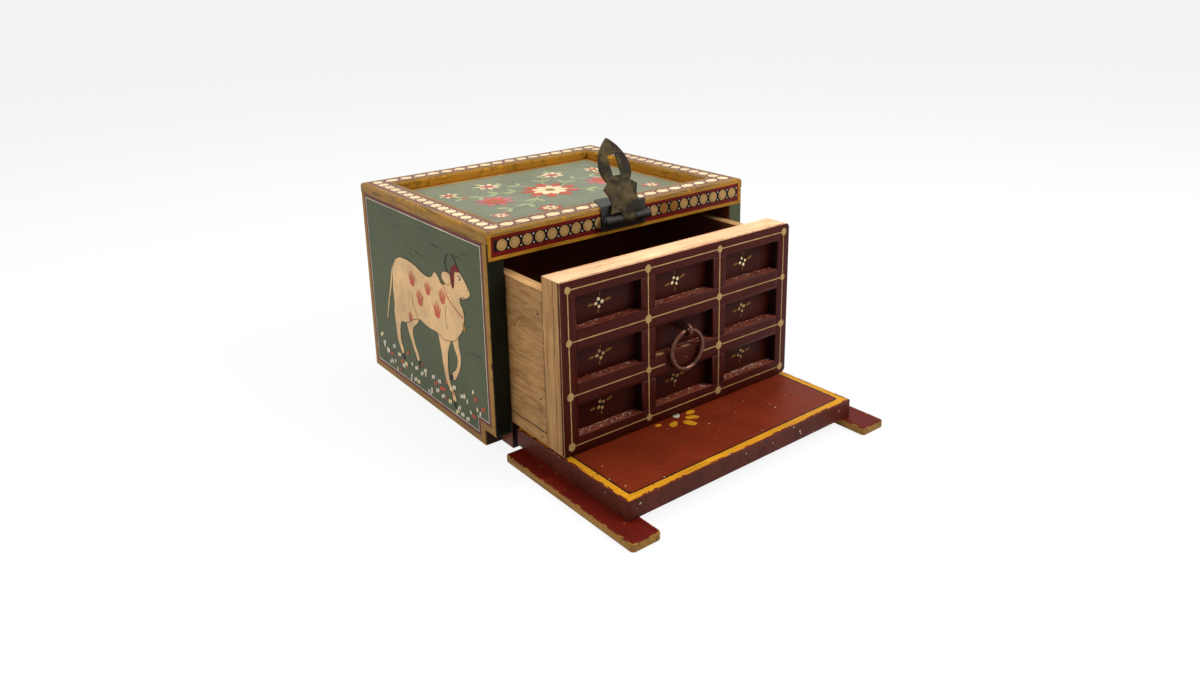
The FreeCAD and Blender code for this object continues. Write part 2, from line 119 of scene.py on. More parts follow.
class TrinketColours(bpy.types.PropertyGroup):
    """Paints, woods and metals of the box."""

    green: colour("Field green", "Ground of the sides and the back", 76, 82, 58)
    # painted shade: a near-black copy of the field green for the left side's front edge, which lies in the
    # drawer's shadow
    edge_green: colour("Edge green", "Grimy green of the left side's front edge", 22, 23, 11)
    top_green: colour("Top green", "Ground of the sunken top", 118, 121, 98)
    mustard: colour("Mustard", "Edges and borders of the carcass", 144, 105, 46)
    gold_brown: colour("Gold brown", "Walls of the sunken top and edges of the rail", 176, 122, 36)
    plum: colour("Plum", "Thin line between border and field", 98, 50, 48)
    white: colour("Chalk white", "Thin lines, dots and small petals", 210, 200, 178)
    mauve: colour("Mauve", "Ground of the beaded band", 118, 80, 68)
    cream: colour("Cream", "Beads of the band", 228, 204, 160)
    dark_red: colour("Dark red", "Outline of the coin band", 104, 22, 18)
    black: colour("Black", "Ground of the coin band and fine outlines", 24, 19, 16)
    worn_brown: colour("Worn brown", "What shows where mustard is rubbed off", 66, 42, 22)
    coin: colour("Coin gold", "Round coins on the rail", 180, 144, 90)
    maroon: colour("Maroon", "Lattice of the drawer front", 62, 15, 7)
    ledge: colour("Ledge", "Lower walls of the cells", 112, 52, 38)
    flake: colour("Flaked paint", "Loose flakes on the lower walls of the cells", 206, 174, 150)
    rubbed: colour("Rubbed edge", "Thin paint along rubbed edges of the drawer front", 164, 92, 60)
    cell: colour("Cell maroon", "Sunken cells behind the lattice", 54, 14, 6)
    # painted shade: the near-black colour of the cells' inner walls and of the bottom board's front edge; it
    # also serves as the dark under colour of the ledges and the dark patches of the rust
    recess: colour("Recess", "Grimy walls of the cells", 32, 12, 9)
    gold_line: colour("Line gold", "Thin lines and dots on the lattice", 170, 138, 88)
    rust_gold: colour("Rusty gold", "Discoloured coins", 150, 98, 46)
    dull_gold: colour("Dull gold", "Leaves in the cells", 116, 78, 34)
    panel_red: colour("Panel red", "Face of the loose front panel", 116, 40, 17)
    panel_edge: colour("Panel edge", "Edges of the loose front panel", 80, 33, 22)
    slat_red: colour("Slat red", "Faces of the slats under the loose panel", 96, 20, 8)
    yellow: colour("Yellow", "Border of the loose front panel", 212, 146, 30)
    coral: colour("Coral", "Petals and finger marks", 178, 82, 60)
    hide: colour("Cow hide", "Painted cow", 206, 168, 120)
    leaf: colour("Pale leaf", "Leaves of the painted sprays", 158, 164, 120)
    pink: colour("Pink", "Outer petals of the painted sprays", 172, 104, 104)
    # painted light: paler copies of the raw wood for the upward edges of the drawer and the lattice, as lit
    # from above
    lit_edge_wood: colour("Fresh wood", "Upper edge of the drawer's front", 234, 193, 148)
    lit_edge_grain: colour("Fresh wood grain", "Grain of the upper edge of the drawer's front", 208, 150, 108)
    side_edge: colour("Side edge", "Upper edges of the drawer's sides", 204, 156, 100)
    raw_wood: colour("Raw wood", "Unpainted drawer boards", 164, 124, 77)
    raw_dark: colour("Raw wood grain", "Dark grain of the drawer boards", 132, 93, 52)
    # painted shade: a darker copy of the raw wood for the drawer's sides and bottom, as the left side lies
    # in shade
    side_wood: colour("Drawer side", "Duller wood of the drawer's sides", 154, 115, 68)
    shaded_side_grain: colour("Drawer side grain", "Dark grain of the drawer's sides", 122, 85, 47)
    pore: colour("Pores", "Pores and curly figure of the drawer's sides", 96, 63, 34)
    inside: colour("Inside", "Wash on the inside of the carcass and the drawer", 118, 66, 46)
    patina: colour("Patina", "Dark patches on the iron", 31, 26, 18)
    iron: colour("Dark iron", "Strap of the hasp", 68, 57, 35)
    black_iron: colour("Black iron", "Fixed leaf and pin of the hasp", 29, 28, 24)
    rust: colour("Rust", "Ring and staples", 71, 41, 28)


class TrinketSizes(bpy.types.PropertyGroup):
    """Sizes of the finish: softened corners, painted bands and marks."""

    soft_edge: length("Softened edge", "Rounding of the boards' corners", 0.7)
    round_corner: length("Rounded corner", "Rounding of the drawer front's right-hand corners", 4.0)
    wear_width: length("Worn width", "How far wear reaches in from a corner", 2.2)
    border: length("Border", "Mustard border round the fields", 5.8)
    line: length("Field line", "Plum line inside the border", 2.6)
    bead_pitch: length("Bead pitch", "Spacing of the beads along the sides of the top", 11.6)
    front_pitch: length("Front bead pitch", "Spacing of the beads along the front and the back", 13.3)
    bead_gap: length("Bead gap", "Gap between two beads", 1.9)
    bead_width: length("Bead width", "Width of one bead", 8.6)
    band_width: length("Band width", "Width of the beaded band", 14.0)
    coin_radius: length("Coin radius", "Radius of one coin on the rail", 4.2)
    coin_height: length("Coin height", "Height of the coins' centres above the floor", 158.4)
    gold_width: length("Gold line", "Width of the lines on the lattice", 0.85)
    dot_radius: length("Gold dot", "Radius of the dots where the lines cross", 2.7)
    yellow_width: length("Yellow border", "Width of the border on the loose panel", 5.6)
    panel_turn: angle("Panel turn", "How far the loose panel lies askew", 0.8)


class TrinketStage(bpy.types.PropertyGroup):
    """The camera's stand and the light round the box."""

    camera_place: spot("Camera place", "Where the camera stands", -0.4310, -0.6374, 0.3452)
    camera_yaw: angle("Yaw", "Turn of the camera to the right of the box's depth", 36.01)
    camera_pitch: angle("Pitch", "How far the camera looks down", 15.01)
    camera_roll: angle("Roll", "Tilt of the camera", 1.56)
    camera_lens: amount("Lens", "Focal length", 27.75, subtype="DISTANCE_CAMERA")
    shift_across: amount("Shift across", "How far the picture is moved across, in its widths", 0.0168)
    shift_up: amount("Shift up", "How far the picture is moved up, in its widths", -0.1033)
    lamp_target: spot("Lamp target", "Where the lamps point", 0.0, -0.08, 0.08)
    daylight: amount("Daylight", "Strength of the white light all round", 0.26)
    floor_glow: amount("Floor glow", "Share of plain white in the seen floor", 0.86, subtype="FACTOR")


# shader nodes

def feed(tree, socket, value):
    """Links a socket or sets its value."""
    if isinstance(value, bpy.types.NodeSocket):
        tree.links.new(value, socket)
    elif hasattr(value, "__len__") and socket.type == "RGBA":
        socket.default_value = (*value[:3], 1.0)
    else:
        socket.default_value = value


def add(tree, kind, inputs, output=0, **settings):
    """A new node: what feeds its inputs, by number or name, and the output that is wanted."""
    node = tree.nodes.new(f"ShaderNode{kind}")
    for name, value in settings.items():
        setattr(node, name, value)
    for key, value in inputs.items():
        feed(tree, node.inputs[key], value)
    return node.outputs[output]


def calc(tree, operation, *values):
    """One step of arithmetic."""
    return add(tree, "Math", dict(enumerate(values)), operation=operation)


def scaled(tree, vector, factor):
    """A colour or vector times a number."""
    return add(tree, "VectorMath", {0: vector, "Scale": factor}, operation="SCALE")


def mixed(tree, factor, first, second):
    """One colour over another."""
    return add(tree, "Mix", {0: factor, 6: first, 7: second}, 2, data_type="RGBA")


def between(tree, value, low, high, to_low=0.0, to_high=1.0):
    """A smooth step from one level to another."""
    levels = dict(enumerate((value, low, high, to_low, to_high)))
    return add(tree, "MapRange", levels, interpolation_type="SMOOTHSTEP")


def speckle(tree, coordinates, scale, detail, distortion=0.0):
    """Noise from 0 to 1."""
    values = {"Vector": coordinates, "Scale": scale, "Detail": detail, "Distortion": distortion}
    return add(tree, "TexNoise", values, "Fac")


def stretched(tree, stretch):
    """Object coordinates, plain and drawn out along one way."""
    place = add(tree, "TexCoord", {}, "Object")
    return place, add(tree, "VectorMath", {0: place, 1: stretch}, operation="MULTIPLY")


def worn_share(tree):
    """1 on worn corners, 0 away from them."""
    return add(tree, "Attribute", {}, "Fac", attribute_name="worn")


# what each node group takes and gives
PAINT_INPUTS = {
    "Paint": "Color", "Under": "Color", "Wear": "Float", "Specks": "Float", "Grime": "Float",
    "Stretch": "Vector",
}
WOOD_INPUTS = {"Pale": "Color", "Dark": "Color", "Stretch": "Vector"}
IRON_INPUTS = {"Metal": "Color", "Patina": "Color", "Rub": "Float", "Patches": "Float", "Polish": "Float"}
SURFACE = {"Color": "Color", "Roughness": "Float", "Height": "Float"}


def shared_group(fill, inputs):
    """The node group that fill gives its colour, roughness and height, made when it is first asked for."""
    name = fill.__name__
    if name in bpy.data.node_groups:
        return bpy.data.node_groups[name]
    group = bpy.data.node_groups.new(name, "ShaderNodeTree")
    for in_out, sockets in (("INPUT", inputs), ("OUTPUT", SURFACE)):
        for label, kind in sockets.items():
            group.interface.new_socket(label, in_out=in_out, socket_type=f"NodeSocket{kind}")
    given = group.nodes.new("NodeGroupInput").outputs
    result = group.nodes.new("NodeGroupOutput").inputs
    for socket, value in zip(result, fill(group, given)):
        group.links.new(value, socket)
    return group


def hand_painted(group, given):
    """Brushed paint that is mottled, chipped along corners and specked with small losses."""
    place, drawn_out = stretched(group, given["Stretch"])
    streak = speckle(group, drawn_out, 1.0, 5.0)
    mottle = speckle(group, place, 38.0, 4.0, 0.4)
    fine = speckle(group, place, 620.0, 3.0)
    cloud = speckle(group, place, 13.0, 2.0)
    light = calc(group, "MULTIPLY_ADD", streak, 0.5, 0.22)
    light = calc(group, "MULTIPLY_ADD", mottle, 0.62, light)
    light = calc(group, "MULTIPLY_ADD", fine, 0.3, light)
    light = calc(group, "MULTIPLY", light, calc(group, "MULTIPLY_ADD", cloud, 0.5, 0.77))
    clean, grimy = scaled(group, given["Paint"], light), scaled(group, given["Paint"], 0.28)
    grime = calc(group, "MULTIPLY", between(group, streak, 0.5, 0.66), given["Grime"])
    paint = mixed(group, grime, clean, grimy)
    chip = calc(group, "MULTIPLY_ADD", worn_share(group), 0.62, speckle(group, place, 170.0, 6.0, 0.3))
    chip = between(group, calc(group, "MULTIPLY_ADD", given["Wear"], 0.5, chip), 1.14, 1.26)
    speck = calc(group, "MULTIPLY_ADD", given["Specks"], 0.1, speckle(group, place, 300.0, 2.0, 0.2))
    lost = calc(group, "MAXIMUM", chip, between(group, speck, 0.80, 0.84, 0.0, 0.75))
    under = scaled(group, given["Under"], calc(group, "MULTIPLY_ADD", streak, 0.6, 0.7))
    rough = calc(group, "MULTIPLY_ADD", mottle, 0.24, 0.34)
    height = calc(group, "MULTIPLY_ADD", fine, 0.2, calc(group, "MULTIPLY", streak, 0.5))
    return (
        mixed(group, lost, paint, under),
        calc(group, "MULTIPLY_ADD", lost, 0.25, rough),
        calc(group, "SUBTRACT", height, calc(group, "MULTIPLY", lost, 0.7)),
    )


def bare_wood(group, given):
    """Sawn wood: long wavy grain, fine pores and old smudges."""
    place, drawn_out = stretched(group, given["Stretch"])
    grain = speckle(group, drawn_out, 1.0, 6.0, 1.6)
    pores = speckle(group, scaled(group, drawn_out, 5.0), 1.0, 3.0)
    smudge = speckle(group, place, 26.0, 5.0, 0.8)
    wood = mixed(group, between(group, grain, 0.34, 0.72), given["Pale"], given["Dark"])
    wood = mixed(group, between(group, pores, 0.56, 0.70, 0.0, 0.45), wood, given["Dark"])
    return (
        scaled(group, wood, calc(group, "MULTIPLY_ADD", smudge, 0.9, 0.56)),
        calc(group, "MULTIPLY_ADD", grain, 0.2, 0.6),
        calc(group, "MULTIPLY_ADD", pores, 0.6, calc(group, "MULTIPLY", grain, 0.7)),
    )


def old_iron(group, given):
    """Hand-worked iron with cloudy patina, rubbed corners and pits."""
    place = add(group, "TexCoord", {}, "Object")
    cloud = speckle(group, scaled(group, place, given["Patches"]), 1.0, 4.0, 0.5)
    pits = speckle(group, place, 700.0, 3.0)
    metal = mixed(group, between(group, cloud, 0.42, 0.58), given["Patina"], given["Metal"])
    corners = between(group, calc(group, "ADD", worn_share(group), cloud), 1.1, 1.5)
    rub = calc(group, "MAXIMUM", corners, between(group, cloud, 0.58, 0.70))
    rub = calc(group, "MULTIPLY", rub, given["Rub"])
    metal = mixed(group, rub, metal, scaled(group, given["Metal"], 1.9))
    rough = calc(group, "MULTIPLY_ADD", cloud, 0.35, 0.42)
    rough = calc(group, "SUBTRACT", rough, calc(group, "MULTIPLY", rub, 0.15))
    return (
        scaled(group, metal, calc(group, "MULTIPLY_ADD", pits, 0.5, 0.75)),
        calc(group, "SUBTRACT", rough, given["Polish"]),
        calc(group, "MULTIPLY_ADD", pits, 0.4, cloud),
    )


# how far noise is drawn out: brushed along an axis, daubed, or grown as grain
ALONG_X = (30.0, 420.0, 420.0)
ALONG_Y = (420.0, 30.0, 420.0)
ALONG_Z = (420.0, 420.0, 30.0)
DAUBED = (150.0, 150.0, 150.0)
GRAIN_X = (9.0, 150.0, 150.0)
GRAIN_Y = (150.0, 9.0, 150.0)
GRAIN_Z = (150.0, 150.0, 9.0)
FIGURE_Y = (300.0, 34.0, 300.0)

# finish: paint colour, what shows where it is lost, wear, specks, grime, brush direction
PAINTS = {
    # painted shade: near-black green for the left side's front edge
    "edge_green": ("edge_green", "black", -0.1, 0.4, 0.3, ALONG_Z),
    # painted shade: near black for the cells' inner walls and the bottom board's front edge
    "recess_wall": ("recess", "black", -0.3, 0.2, 0.2, ALONG_X),
    "side_green": ("green", "inside", -0.1, 0.3, 0.2, ALONG_Y),
    "top_green": ("top_green", "inside", -0.2, 0.4, 0.1, ALONG_X),
    "edge_mustard": ("mustard", "worn_brown", -0.1, 0.6, 0.35, ALONG_Y),
    "strip_mustard_x": ("mustard", "gold_brown", -0.1, 0.3, 0.75, ALONG_X),
    "strip_mustard_y": ("mustard", "gold_brown", -0.1, 0.3, 0.75, ALONG_Y),
    "wall_gold": ("gold_brown", "yellow", -0.1, 0.9, 0.6, DAUBED),
    "rail_gold": ("gold_brown", "worn_brown", 0.0, 0.8, 0.6, ALONG_X),
    "inside_wash": ("inside", "black", -0.3, 0.3, 0.3, ALONG_X),
    "lattice_maroon": ("maroon", "raw_dark", -0.2, 0.3, 0.3, ALONG_X),
    "ledge_maroon": ("ledge", "recess", -0.2, 0.5, 0.6, DAUBED),
    "cell_maroon": ("cell", "black", -0.3, 0.2, 0.3, ALONG_X),
    "panel_red": ("panel_red", "flake", -0.25, 0.8, 0.3, ALONG_X),
    "panel_edge": ("panel_edge", "flake", -0.25, 1.0, 0.5, DAUBED),
    "slat_red": ("slat_red", "mustard", 0.1, 0.9, 0.45, ALONG_Y),
    "slat_mustard": ("mustard", "raw_dark", 0.1, 1.0, 0.6, ALONG_Y),
    "mark_plum": ("plum", "mustard", -0.4, 0.5, 0.2, DAUBED),
    "mark_white": ("white", "mustard", -0.4, 0.3, 0.1, DAUBED),
    "mark_mauve": ("mauve", "plum", -0.4, 0.6, 0.3, DAUBED),
    "mark_cream": ("cream", "coin", -0.4, 0.8, 0.1, DAUBED),
    "mark_dark_red": ("dark_red", "black", -0.4, 0.4, 0.5, ALONG_X),
    "mark_black": ("black", "inside", -0.4, 0.2, 0.0, DAUBED),
    "mark_coin": ("coin", "inside", -0.4, 0.9, 0.2, DAUBED),
    "mark_rust": ("rust_gold", "coin", -0.4, 0.9, 0.3, DAUBED),
    "mark_gold": ("gold_line", "maroon", -0.4, 0.7, 0.15, DAUBED),
    "mark_dull_gold": ("dull_gold", "cell", -0.4, 0.9, 0.2, DAUBED),
    "mark_yellow": ("yellow", "panel_edge", -0.3, 1.0, 0.35, ALONG_X),
    "mark_coral": ("coral", "cream", -0.4, 0.5, 0.1, DAUBED),
    "mark_hide": ("hide", "coin", -0.4, 0.3, 0.08, DAUBED),
    "mark_flake": ("flake", "ledge", -0.4, 0.6, 0.3, DAUBED),
    "mark_rubbed": ("rubbed", "maroon", -0.4, 0.6, 0.4, ALONG_X),
    "mark_pore": ("pore", "shaded_side_grain", -0.4, 0.2, 0.2, DAUBED),
    "mark_figure": ("shaded_side_grain", "pore", -0.4, 0.4, 0.3, DAUBED),
    "mark_leaf": ("leaf", "green", -0.4, 0.5, 0.1, DAUBED),
    "mark_pink": ("pink", "cream", -0.4, 0.5, 0.1, DAUBED),
    "mark_mustard": ("mustard", "inside", -0.4, 0.6, 0.3, DAUBED),
}
# wood: pale colour, grain colour, direction of the grain
WOODS = {
    "wood_x": ("raw_wood", "raw_dark", GRAIN_X),
    # painted shade: wood_y is the darker copy of the wood for the drawer's sides and bottom
    "wood_y": ("side_wood", "shaded_side_grain", FIGURE_Y),
    "wood_z": ("raw_wood", "raw_dark", GRAIN_Z),
    # painted light: edge_x and edge_y are paler copies of the wood for upward edges, as lit from above
    "edge_x": ("lit_edge_wood", "lit_edge_grain", GRAIN_X),
    "edge_y": ("side_edge", "raw_wood", GRAIN_Y),
}
# iron: colour, colour of its patches, how bright it is rubbed, patches in a metre, polish, gloss
METALS = {
    "dark_iron": ("iron", "patina", 0.35, 85.0, 0.0, 0.12),
    "black_iron": ("black_iron", "black", 0.6, 85.0, 0.0, 0.6),
    "rusty_iron": ("rust", "recess", 0.9, 210.0, 0.28, 0.35),
}
RELIEF = 0.4 * MM


def surface(name, group, values, metallic, gloss, bump):
    """A material with one group that feeds its colour, roughness and bump; a value can name a colour."""
    colours = bpy.context.scene.trinket_colours
    material = bpy.data.materials.new(name)
    material.use_nodes = True
    tree = material.node_tree
    shader = tree.nodes["Principled BSDF"]
    shader.inputs["Metallic"].default_value = metallic
    shader.inputs["Specular IOR Level"].default_value = gloss
    inner = tree.nodes.new("ShaderNodeGroup")
    inner.node_tree = group
    for socket, value in zip(inner.inputs, values):
        feed(tree, socket, getattr(colours, value) if isinstance(value, str) else value)
    relief = tree.nodes.new("ShaderNodeBump")
    relief.inputs["Strength"].default_value = bump
    relief.inputs["Distance"].default_value = RELIEF
    tree.links.new(inner.outputs["Color"], shader.inputs["Base Color"])
    tree.links.new(inner.outputs["Roughness"], shader.inputs["Roughness"])
    tree.links.new(inner.outputs["Height"], relief.inputs["Height"])
    tree.links.new(relief.outputs["Normal"], shader.inputs["Normal"])
    return material


def finish(name):
    """The material of that finish, made when it is first asked for."""
    label = f"{name}_finish"
    if label in bpy.data.materials:
        return bpy.data.materials[label]
    if name in WOODS:
        wood = shared_group(bare_wood, WOOD_INPUTS)
        return surface(label, wood, WOODS[name], metallic=0.0, gloss=0.25, bump=0.5)
    if name in METALS:
        *values, gloss = METALS[name]
        iron = shared_group(old_iron, IRON_INPUTS)
        return surface(label, iron, values, metallic=0.5, gloss=gloss, bump=0.45)
    paint = shared_group(hand_painted, PAINT_INPUTS)
    return surface(label, paint, PAINTS[name], metallic=0.0, gloss=0.09, bump=0.4)


# softened copies of the solids

# points closer than this are one point
SAME_POINT = 1e-6
# an edge counts as long from this length, and as straight from this share of it along one axis
LONG_EDGE = 18 * MM
STRAIGHT = 0.999
# a softened corner is narrower than the first, a broad face wider than the second
SOFT_FACE = 0.3 * MM
BROAD_FACE = 2.2 * MM
# a face with edges this short is finely curved, and its worn rim this narrow; other rims are a share of it
FINE_EDGE = 0.25 * MM
FINE_INSET = 0.1 * MM
INSET_SHARE = 0.22
# angles under which faces are merged, over which edges are softened, over which the shading breaks
FLAT_ANGLE = math.radians(0.5)
SHARP_ANGLE = math.radians(35)
SHADE_ANGLE = math.radians(50)
# the uneven surface of hand-worked wire
TREMBLES_PER_METRE = 160
TREMBLE_SEED = 7
# how far the underside of the drawer's front is lifted, and how far up it reaches
RUNNER_GAP = 0.1 * MM
UNDERSIDE = 0.02 * MM


def new_piece(name, bm, finishes):
    """A bmesh as a new object of the scene, with those finishes."""
    mesh = bpy.data.meshes.new(name)
    bm.to_mesh(mesh)
    bm.free()
    for wanted in finishes:
        mesh.materials.append(finish(wanted))
    piece = bpy.data.objects.new(name, mesh)
    bpy.context.scene.collection.objects.link(piece)
    return piece


def long_and_straight(edge):
    """True for an edge along X, Y or Z that is longer than a lap or a bar's end."""
    way = edge.verts[1].co - edge.verts[0].co
    return way.length > LONG_EDGE and max(abs(part) for part in way) > STRAIGHT * way.length


def mean_width(face):
    """How wide a face is, taken as a strip."""
    return 2 * face.calc_area() / face.calc_perimeter()


def rub_faces(bm, worn):
    """Marks the softened corners of a curved or pierced piece as worn."""
    for face in bm.faces:
        face[worn] = 1.0 if mean_width(face) < SOFT_FACE else 0.0
        face.smooth = mean_width(face) < BROAD_FACE


def rub_edges(bm, worn, reach):
    """Marks wear that fades from the softened corners into the broad faces."""
    broad = [face for face in bm.faces if mean_width(face) > BROAD_FACE]
    for face in set(bm.faces).difference(broad):
        for vert in face.verts:
            vert[worn] = 1.0
    for face in broad:
        finely_curved = min(edge.calc_length() for edge in face.edges) < FINE_EDGE
        inset = FINE_INSET if finely_curved else min(reach, INSET_SHARE * mean_width(face))
        rims = bmesh.ops.inset_individual(bm, faces=[face], thickness=inset, use_even_offset=True)["faces"]
        for vert in face.verts:
            vert[worn] = 0.0
        for flat in [face, *rims]:
            flat.smooth = False


def corner_planes(ends):
    """Planes that round the right-hand corners of the drawer front, at those heights of its outline."""
    low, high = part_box("drawer_front_board")
    radius = bpy.context.scene.trinket_sizes.round_corner
    planes = []
    for z in ends:
        to_end = math.copysign(1, z - (low.z + high.z) / 2)
        middle = Vector((high.x - radius, 0, z - to_end * radius))
        for turn in (math.pi / 8, math.pi / 4, math.pi * 3 / 8):
            way = Vector((math.cos(turn), 0, to_end * math.sin(turn)))
            planes.append((middle + way * radius, way))
    return planes


def trim(bm, point, way):
    """Cuts off what lies past a plane and closes the cut."""
    everything = [*bm.verts, *bm.edges, *bm.faces]
    cut = bmesh.ops.bisect_plane(bm, geom=everything, plane_co=point, plane_no=way, clear_outer=True)
    rim = [part for part in cut["geom_cut"] if isinstance(part, bmesh.types.BMEdge)]
    bmesh.ops.contextual_create(bm, geom=rim)


def soften(node, dress, rounding=None, edges=None, curved=False, tremble=0.0, trims=()):
    """Replaces a CAD node by a copy with softened, worn corners; dress names the finish of a face."""
    sizes = bpy.context.scene.trinket_sizes
    source = frame["nodes"][node]
    bm = bmesh.new()
    bm.from_mesh(source.data)
    worn = (bm.faces if curved else bm.verts).layers.float.new("worn")
    bmesh.ops.remove_doubles(bm, verts=bm.verts, dist=SAME_POINT)
    bmesh.ops.dissolve_limit(bm, angle_limit=FLAT_ANGLE, verts=bm.verts, edges=bm.edges)
    for point, way in trims:
        trim(bm, point, way)
    sharp = [edge for edge in bm.edges if len(edge.link_faces) == 2 and edge.calc_face_angle() > SHARP_ANGLE]
    if edges:
        sharp = [edge for edge in sharp if edges(edge)]
    for face in bm.faces:
        face.smooth = True
    bmesh.ops.bevel(
        bm, geom=sharp, offset=sizes.soft_edge if rounding is None else rounding, offset_type="OFFSET",
        segments=2, profile=0.5, affect="EDGES", clamp_overlap=True, material=-1,
    )
    if curved:
        rub_faces(bm, worn)
    else:
        rub_edges(bm, worn, sizes.wear_width)
    if tremble:
        noise.seed_set(TREMBLE_SEED)
        for vert in bm.verts:
            vert.co += noise.noise_vector(vert.co * TREMBLES_PER_METRE) * tremble
    names = []
    for face in bm.faces:
        wanted = dress(face.normal, face.calc_center_median())
        if wanted not in names:
            names.append(wanted)
        face.material_index = names.index(wanted)
    piece = new_piece(f"{node}_softened", bm, names)
    piece.data.set_sharp_from_angle(angle=SHADE_ANGLE)
    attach(piece, source["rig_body"])
    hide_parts(node)
    return piece


def clear_runner(piece):
    """Lifts the underside of a piece a hair off the board that the drawer runs on."""
    lowest = min(vert.co.z for vert in piece.data.vertices)
    for vert in piece.data.vertices:
        if vert.co.z < lowest + UNDERSIDE:
            vert.co.z += RUNNER_GAP


def all_over(name):
    """The same finish on every face."""
    return lambda normal, centre: name


# painted marks

# thickness of a layer of paint in millimetres, and how many heights marks can have in it
LAYER = 0.035
LAYER_HEIGHTS = 12
# usual straight part of a painted line, parts of a curve between two knots, sharpest mitre as a cosine
BRUSH_STEP = 5.0
CURVE_PARTS = 5
MITRE_LIMIT = 0.5


class Painting:
    """Thin painted marks on one flat face, in millimetres across and up from a point on it."""

    def __init__(self, name, origin, across, up, seed=1):
        self.name = name
        self.marks = bmesh.new()
        self.names = []
        self.height = LAYER
        self.count = 0
        self.chance = random.Random(seed)
        across, up = Vector(across), Vector(up)
        self.out = across.cross(up)
        turn = Matrix((across, up, self.out)).transposed().to_4x4()
        self.place = Matrix.Translation(Vector(origin)) @ turn @ Matrix.Scale(MM, 4)

    def over(self):
        """The next marks lie over the ones so far."""
        self.height += LAYER

    def level(self):
        """The height of the next mark: overlapping marks of a layer never lie in one plane."""
        self.count += 1
        return self.height + self.count % LAYER_HEIGHTS * LAYER / (LAYER_HEIGHTS + 1)

    def _give(self, faces, name):
        """Paints those faces with one finish."""
        if name not in self.names:
            self.names.append(name)
        for face in faces:
            face.material_index = self.names.index(name)

    def dab(self, name, at, size, turn=0.0, points=14, wobble=0.05):
        """One touch of the brush: an oval with a slightly uneven edge."""
        made = bmesh.ops.create_circle(self.marks, cap_ends=True, segments=points, radius=0.5)
        turned = Matrix.Rotation(turn, 2)
        height = self.level()
        for vert in made["verts"]:
            push = 1 + self.chance.uniform(-wobble, wobble)
            flat = turned @ Vector((vert.co.x * size[0] * push, vert.co.y * size[1] * push))
            vert.co = (at[0] + flat.x, at[1] + flat.y, height)
        self._give({face for vert in made["verts"] for face in vert.link_faces}, name)

    def walk(self, corners, step, closed):
        """Points along a line of corners, about a step apart or less."""
        points = []
        count = len(corners) if closed else len(corners) - 1
        for index in range(count):
            start, end = Vector(corners[index]), Vector(corners[(index + 1) % len(corners)])
            pieces = max(1, round((end - start).length / step))
            points += [start.lerp(end, piece / pieces) for piece in range(pieces)]
        if not closed:
            points.append(Vector(corners[-1]))
        return points

    def patch(self, name, corners, wobble=0.15, step=7.0):
        """A filled field with straight sides drawn by hand."""
        verts = []
        height = self.level()
        for point in self.walk(corners, step, True):
            shake = [self.chance.uniform(-wobble, wobble) for part in range(2)]
            verts.append(self.marks.verts.new((point.x + shake[0], point.y + shake[1], height)))
        self._give([self.marks.faces.new(verts)], name)

    def stroke(self, name, corners, width, closed=False, wobble=0.08, step=BRUSH_STEP, taper=0.0):
        """A line of the brush along the corners, thinner at its end where it tapers."""
        points = self.walk(corners, step, closed)
        last = len(points) - 1
        height = self.level()
        edge_line = []
        far_side = {}
        for index, point in enumerate(points):
            before = points[index - 1] if index or closed else point
            after = points[(index + 1) % len(points)] if index < last or closed else point
            ways = [way.normalized() for way in (point - before, after - point) if way.length]
            way = (ways[0] + ways[-1]).normalized()
            side = Vector((-way.y, way.x))
            half = width / 2 * (1 - taper * index / max(last, 1)) + self.chance.uniform(-wobble, wobble)
            half /= max(MITRE_LIMIT, way.dot(ways[0]))
            near_point, far_point = point + side * half, point - side * half
            vert = self.marks.verts.new((*near_point, height))
            edge_line.append(vert)
            far_side[vert] = Vector((*far_point, height))
        pairs = list(zip(edge_line, edge_line[1:])) + ([(edge_line[-1], edge_line[0])] if closed else [])
        edges = [self.marks.edges.new(pair) for pair in pairs]
        made = bmesh.ops.extrude_edge_only(self.marks, edges=edges)["geom"]
        fresh = {vert for vert in made if isinstance(vert, bmesh.types.BMVert)}
        for vert in edge_line:
            for edge in vert.link_edges:
                other = edge.other_vert(vert)
                if other in fresh:
                    other.co = far_side[vert]
        self._give([face for face in made if isinstance(face, bmesh.types.BMFace)], name)

    def smooth_line(self, knots, closed, filled):
        """A mesh along, or inside, a smooth curve through the knots."""
        curve = bpy.data.curves.new("brush_line", "CURVE")
        curve.dimensions = "2D" if filled else "3D"
        if filled:
            curve.fill_mode = "BOTH"
        curve.resolution_u = CURVE_PARTS
        spline = curve.splines.new("BEZIER")
        spline.bezier_points.add(len(knots) - 1)
        spline.use_cyclic_u = closed
        for point, knot in zip(spline.bezier_points, knots):
            point.co = (*knot, 0)
            point.handle_left_type = point.handle_right_type = "AUTO"
        holder = bpy.data.objects.new("brush_line", curve)
        mesh = bpy.data.meshes.new_from_object(holder)
        bpy.data.objects.remove(holder)
        bpy.data.curves.remove(curve)
        return mesh

    def form(self, name, knots):
        """A filled form with a smooth outline through the knots."""
        mesh = self.smooth_line(knots, True, True)
        mesh.transform(Matrix.Translation((0, 0, self.level())))
        known = set(self.marks.faces)
        self.marks.from_mesh(mesh)
        bpy.data.meshes.remove(mesh)
        self._give([face for face in self.marks.faces if face not in known], name)

    def contour(self, name, knots, width, closed=False, taper=0.0):
        """A smooth line of the brush through the knots."""
        mesh = self.smooth_line(knots, closed, False)
        points = [vert.co.xy for vert in mesh.vertices]
        bpy.data.meshes.remove(mesh)
        self.stroke(name, points, width, closed, wobble=0.04, step=50.0, taper=taper)

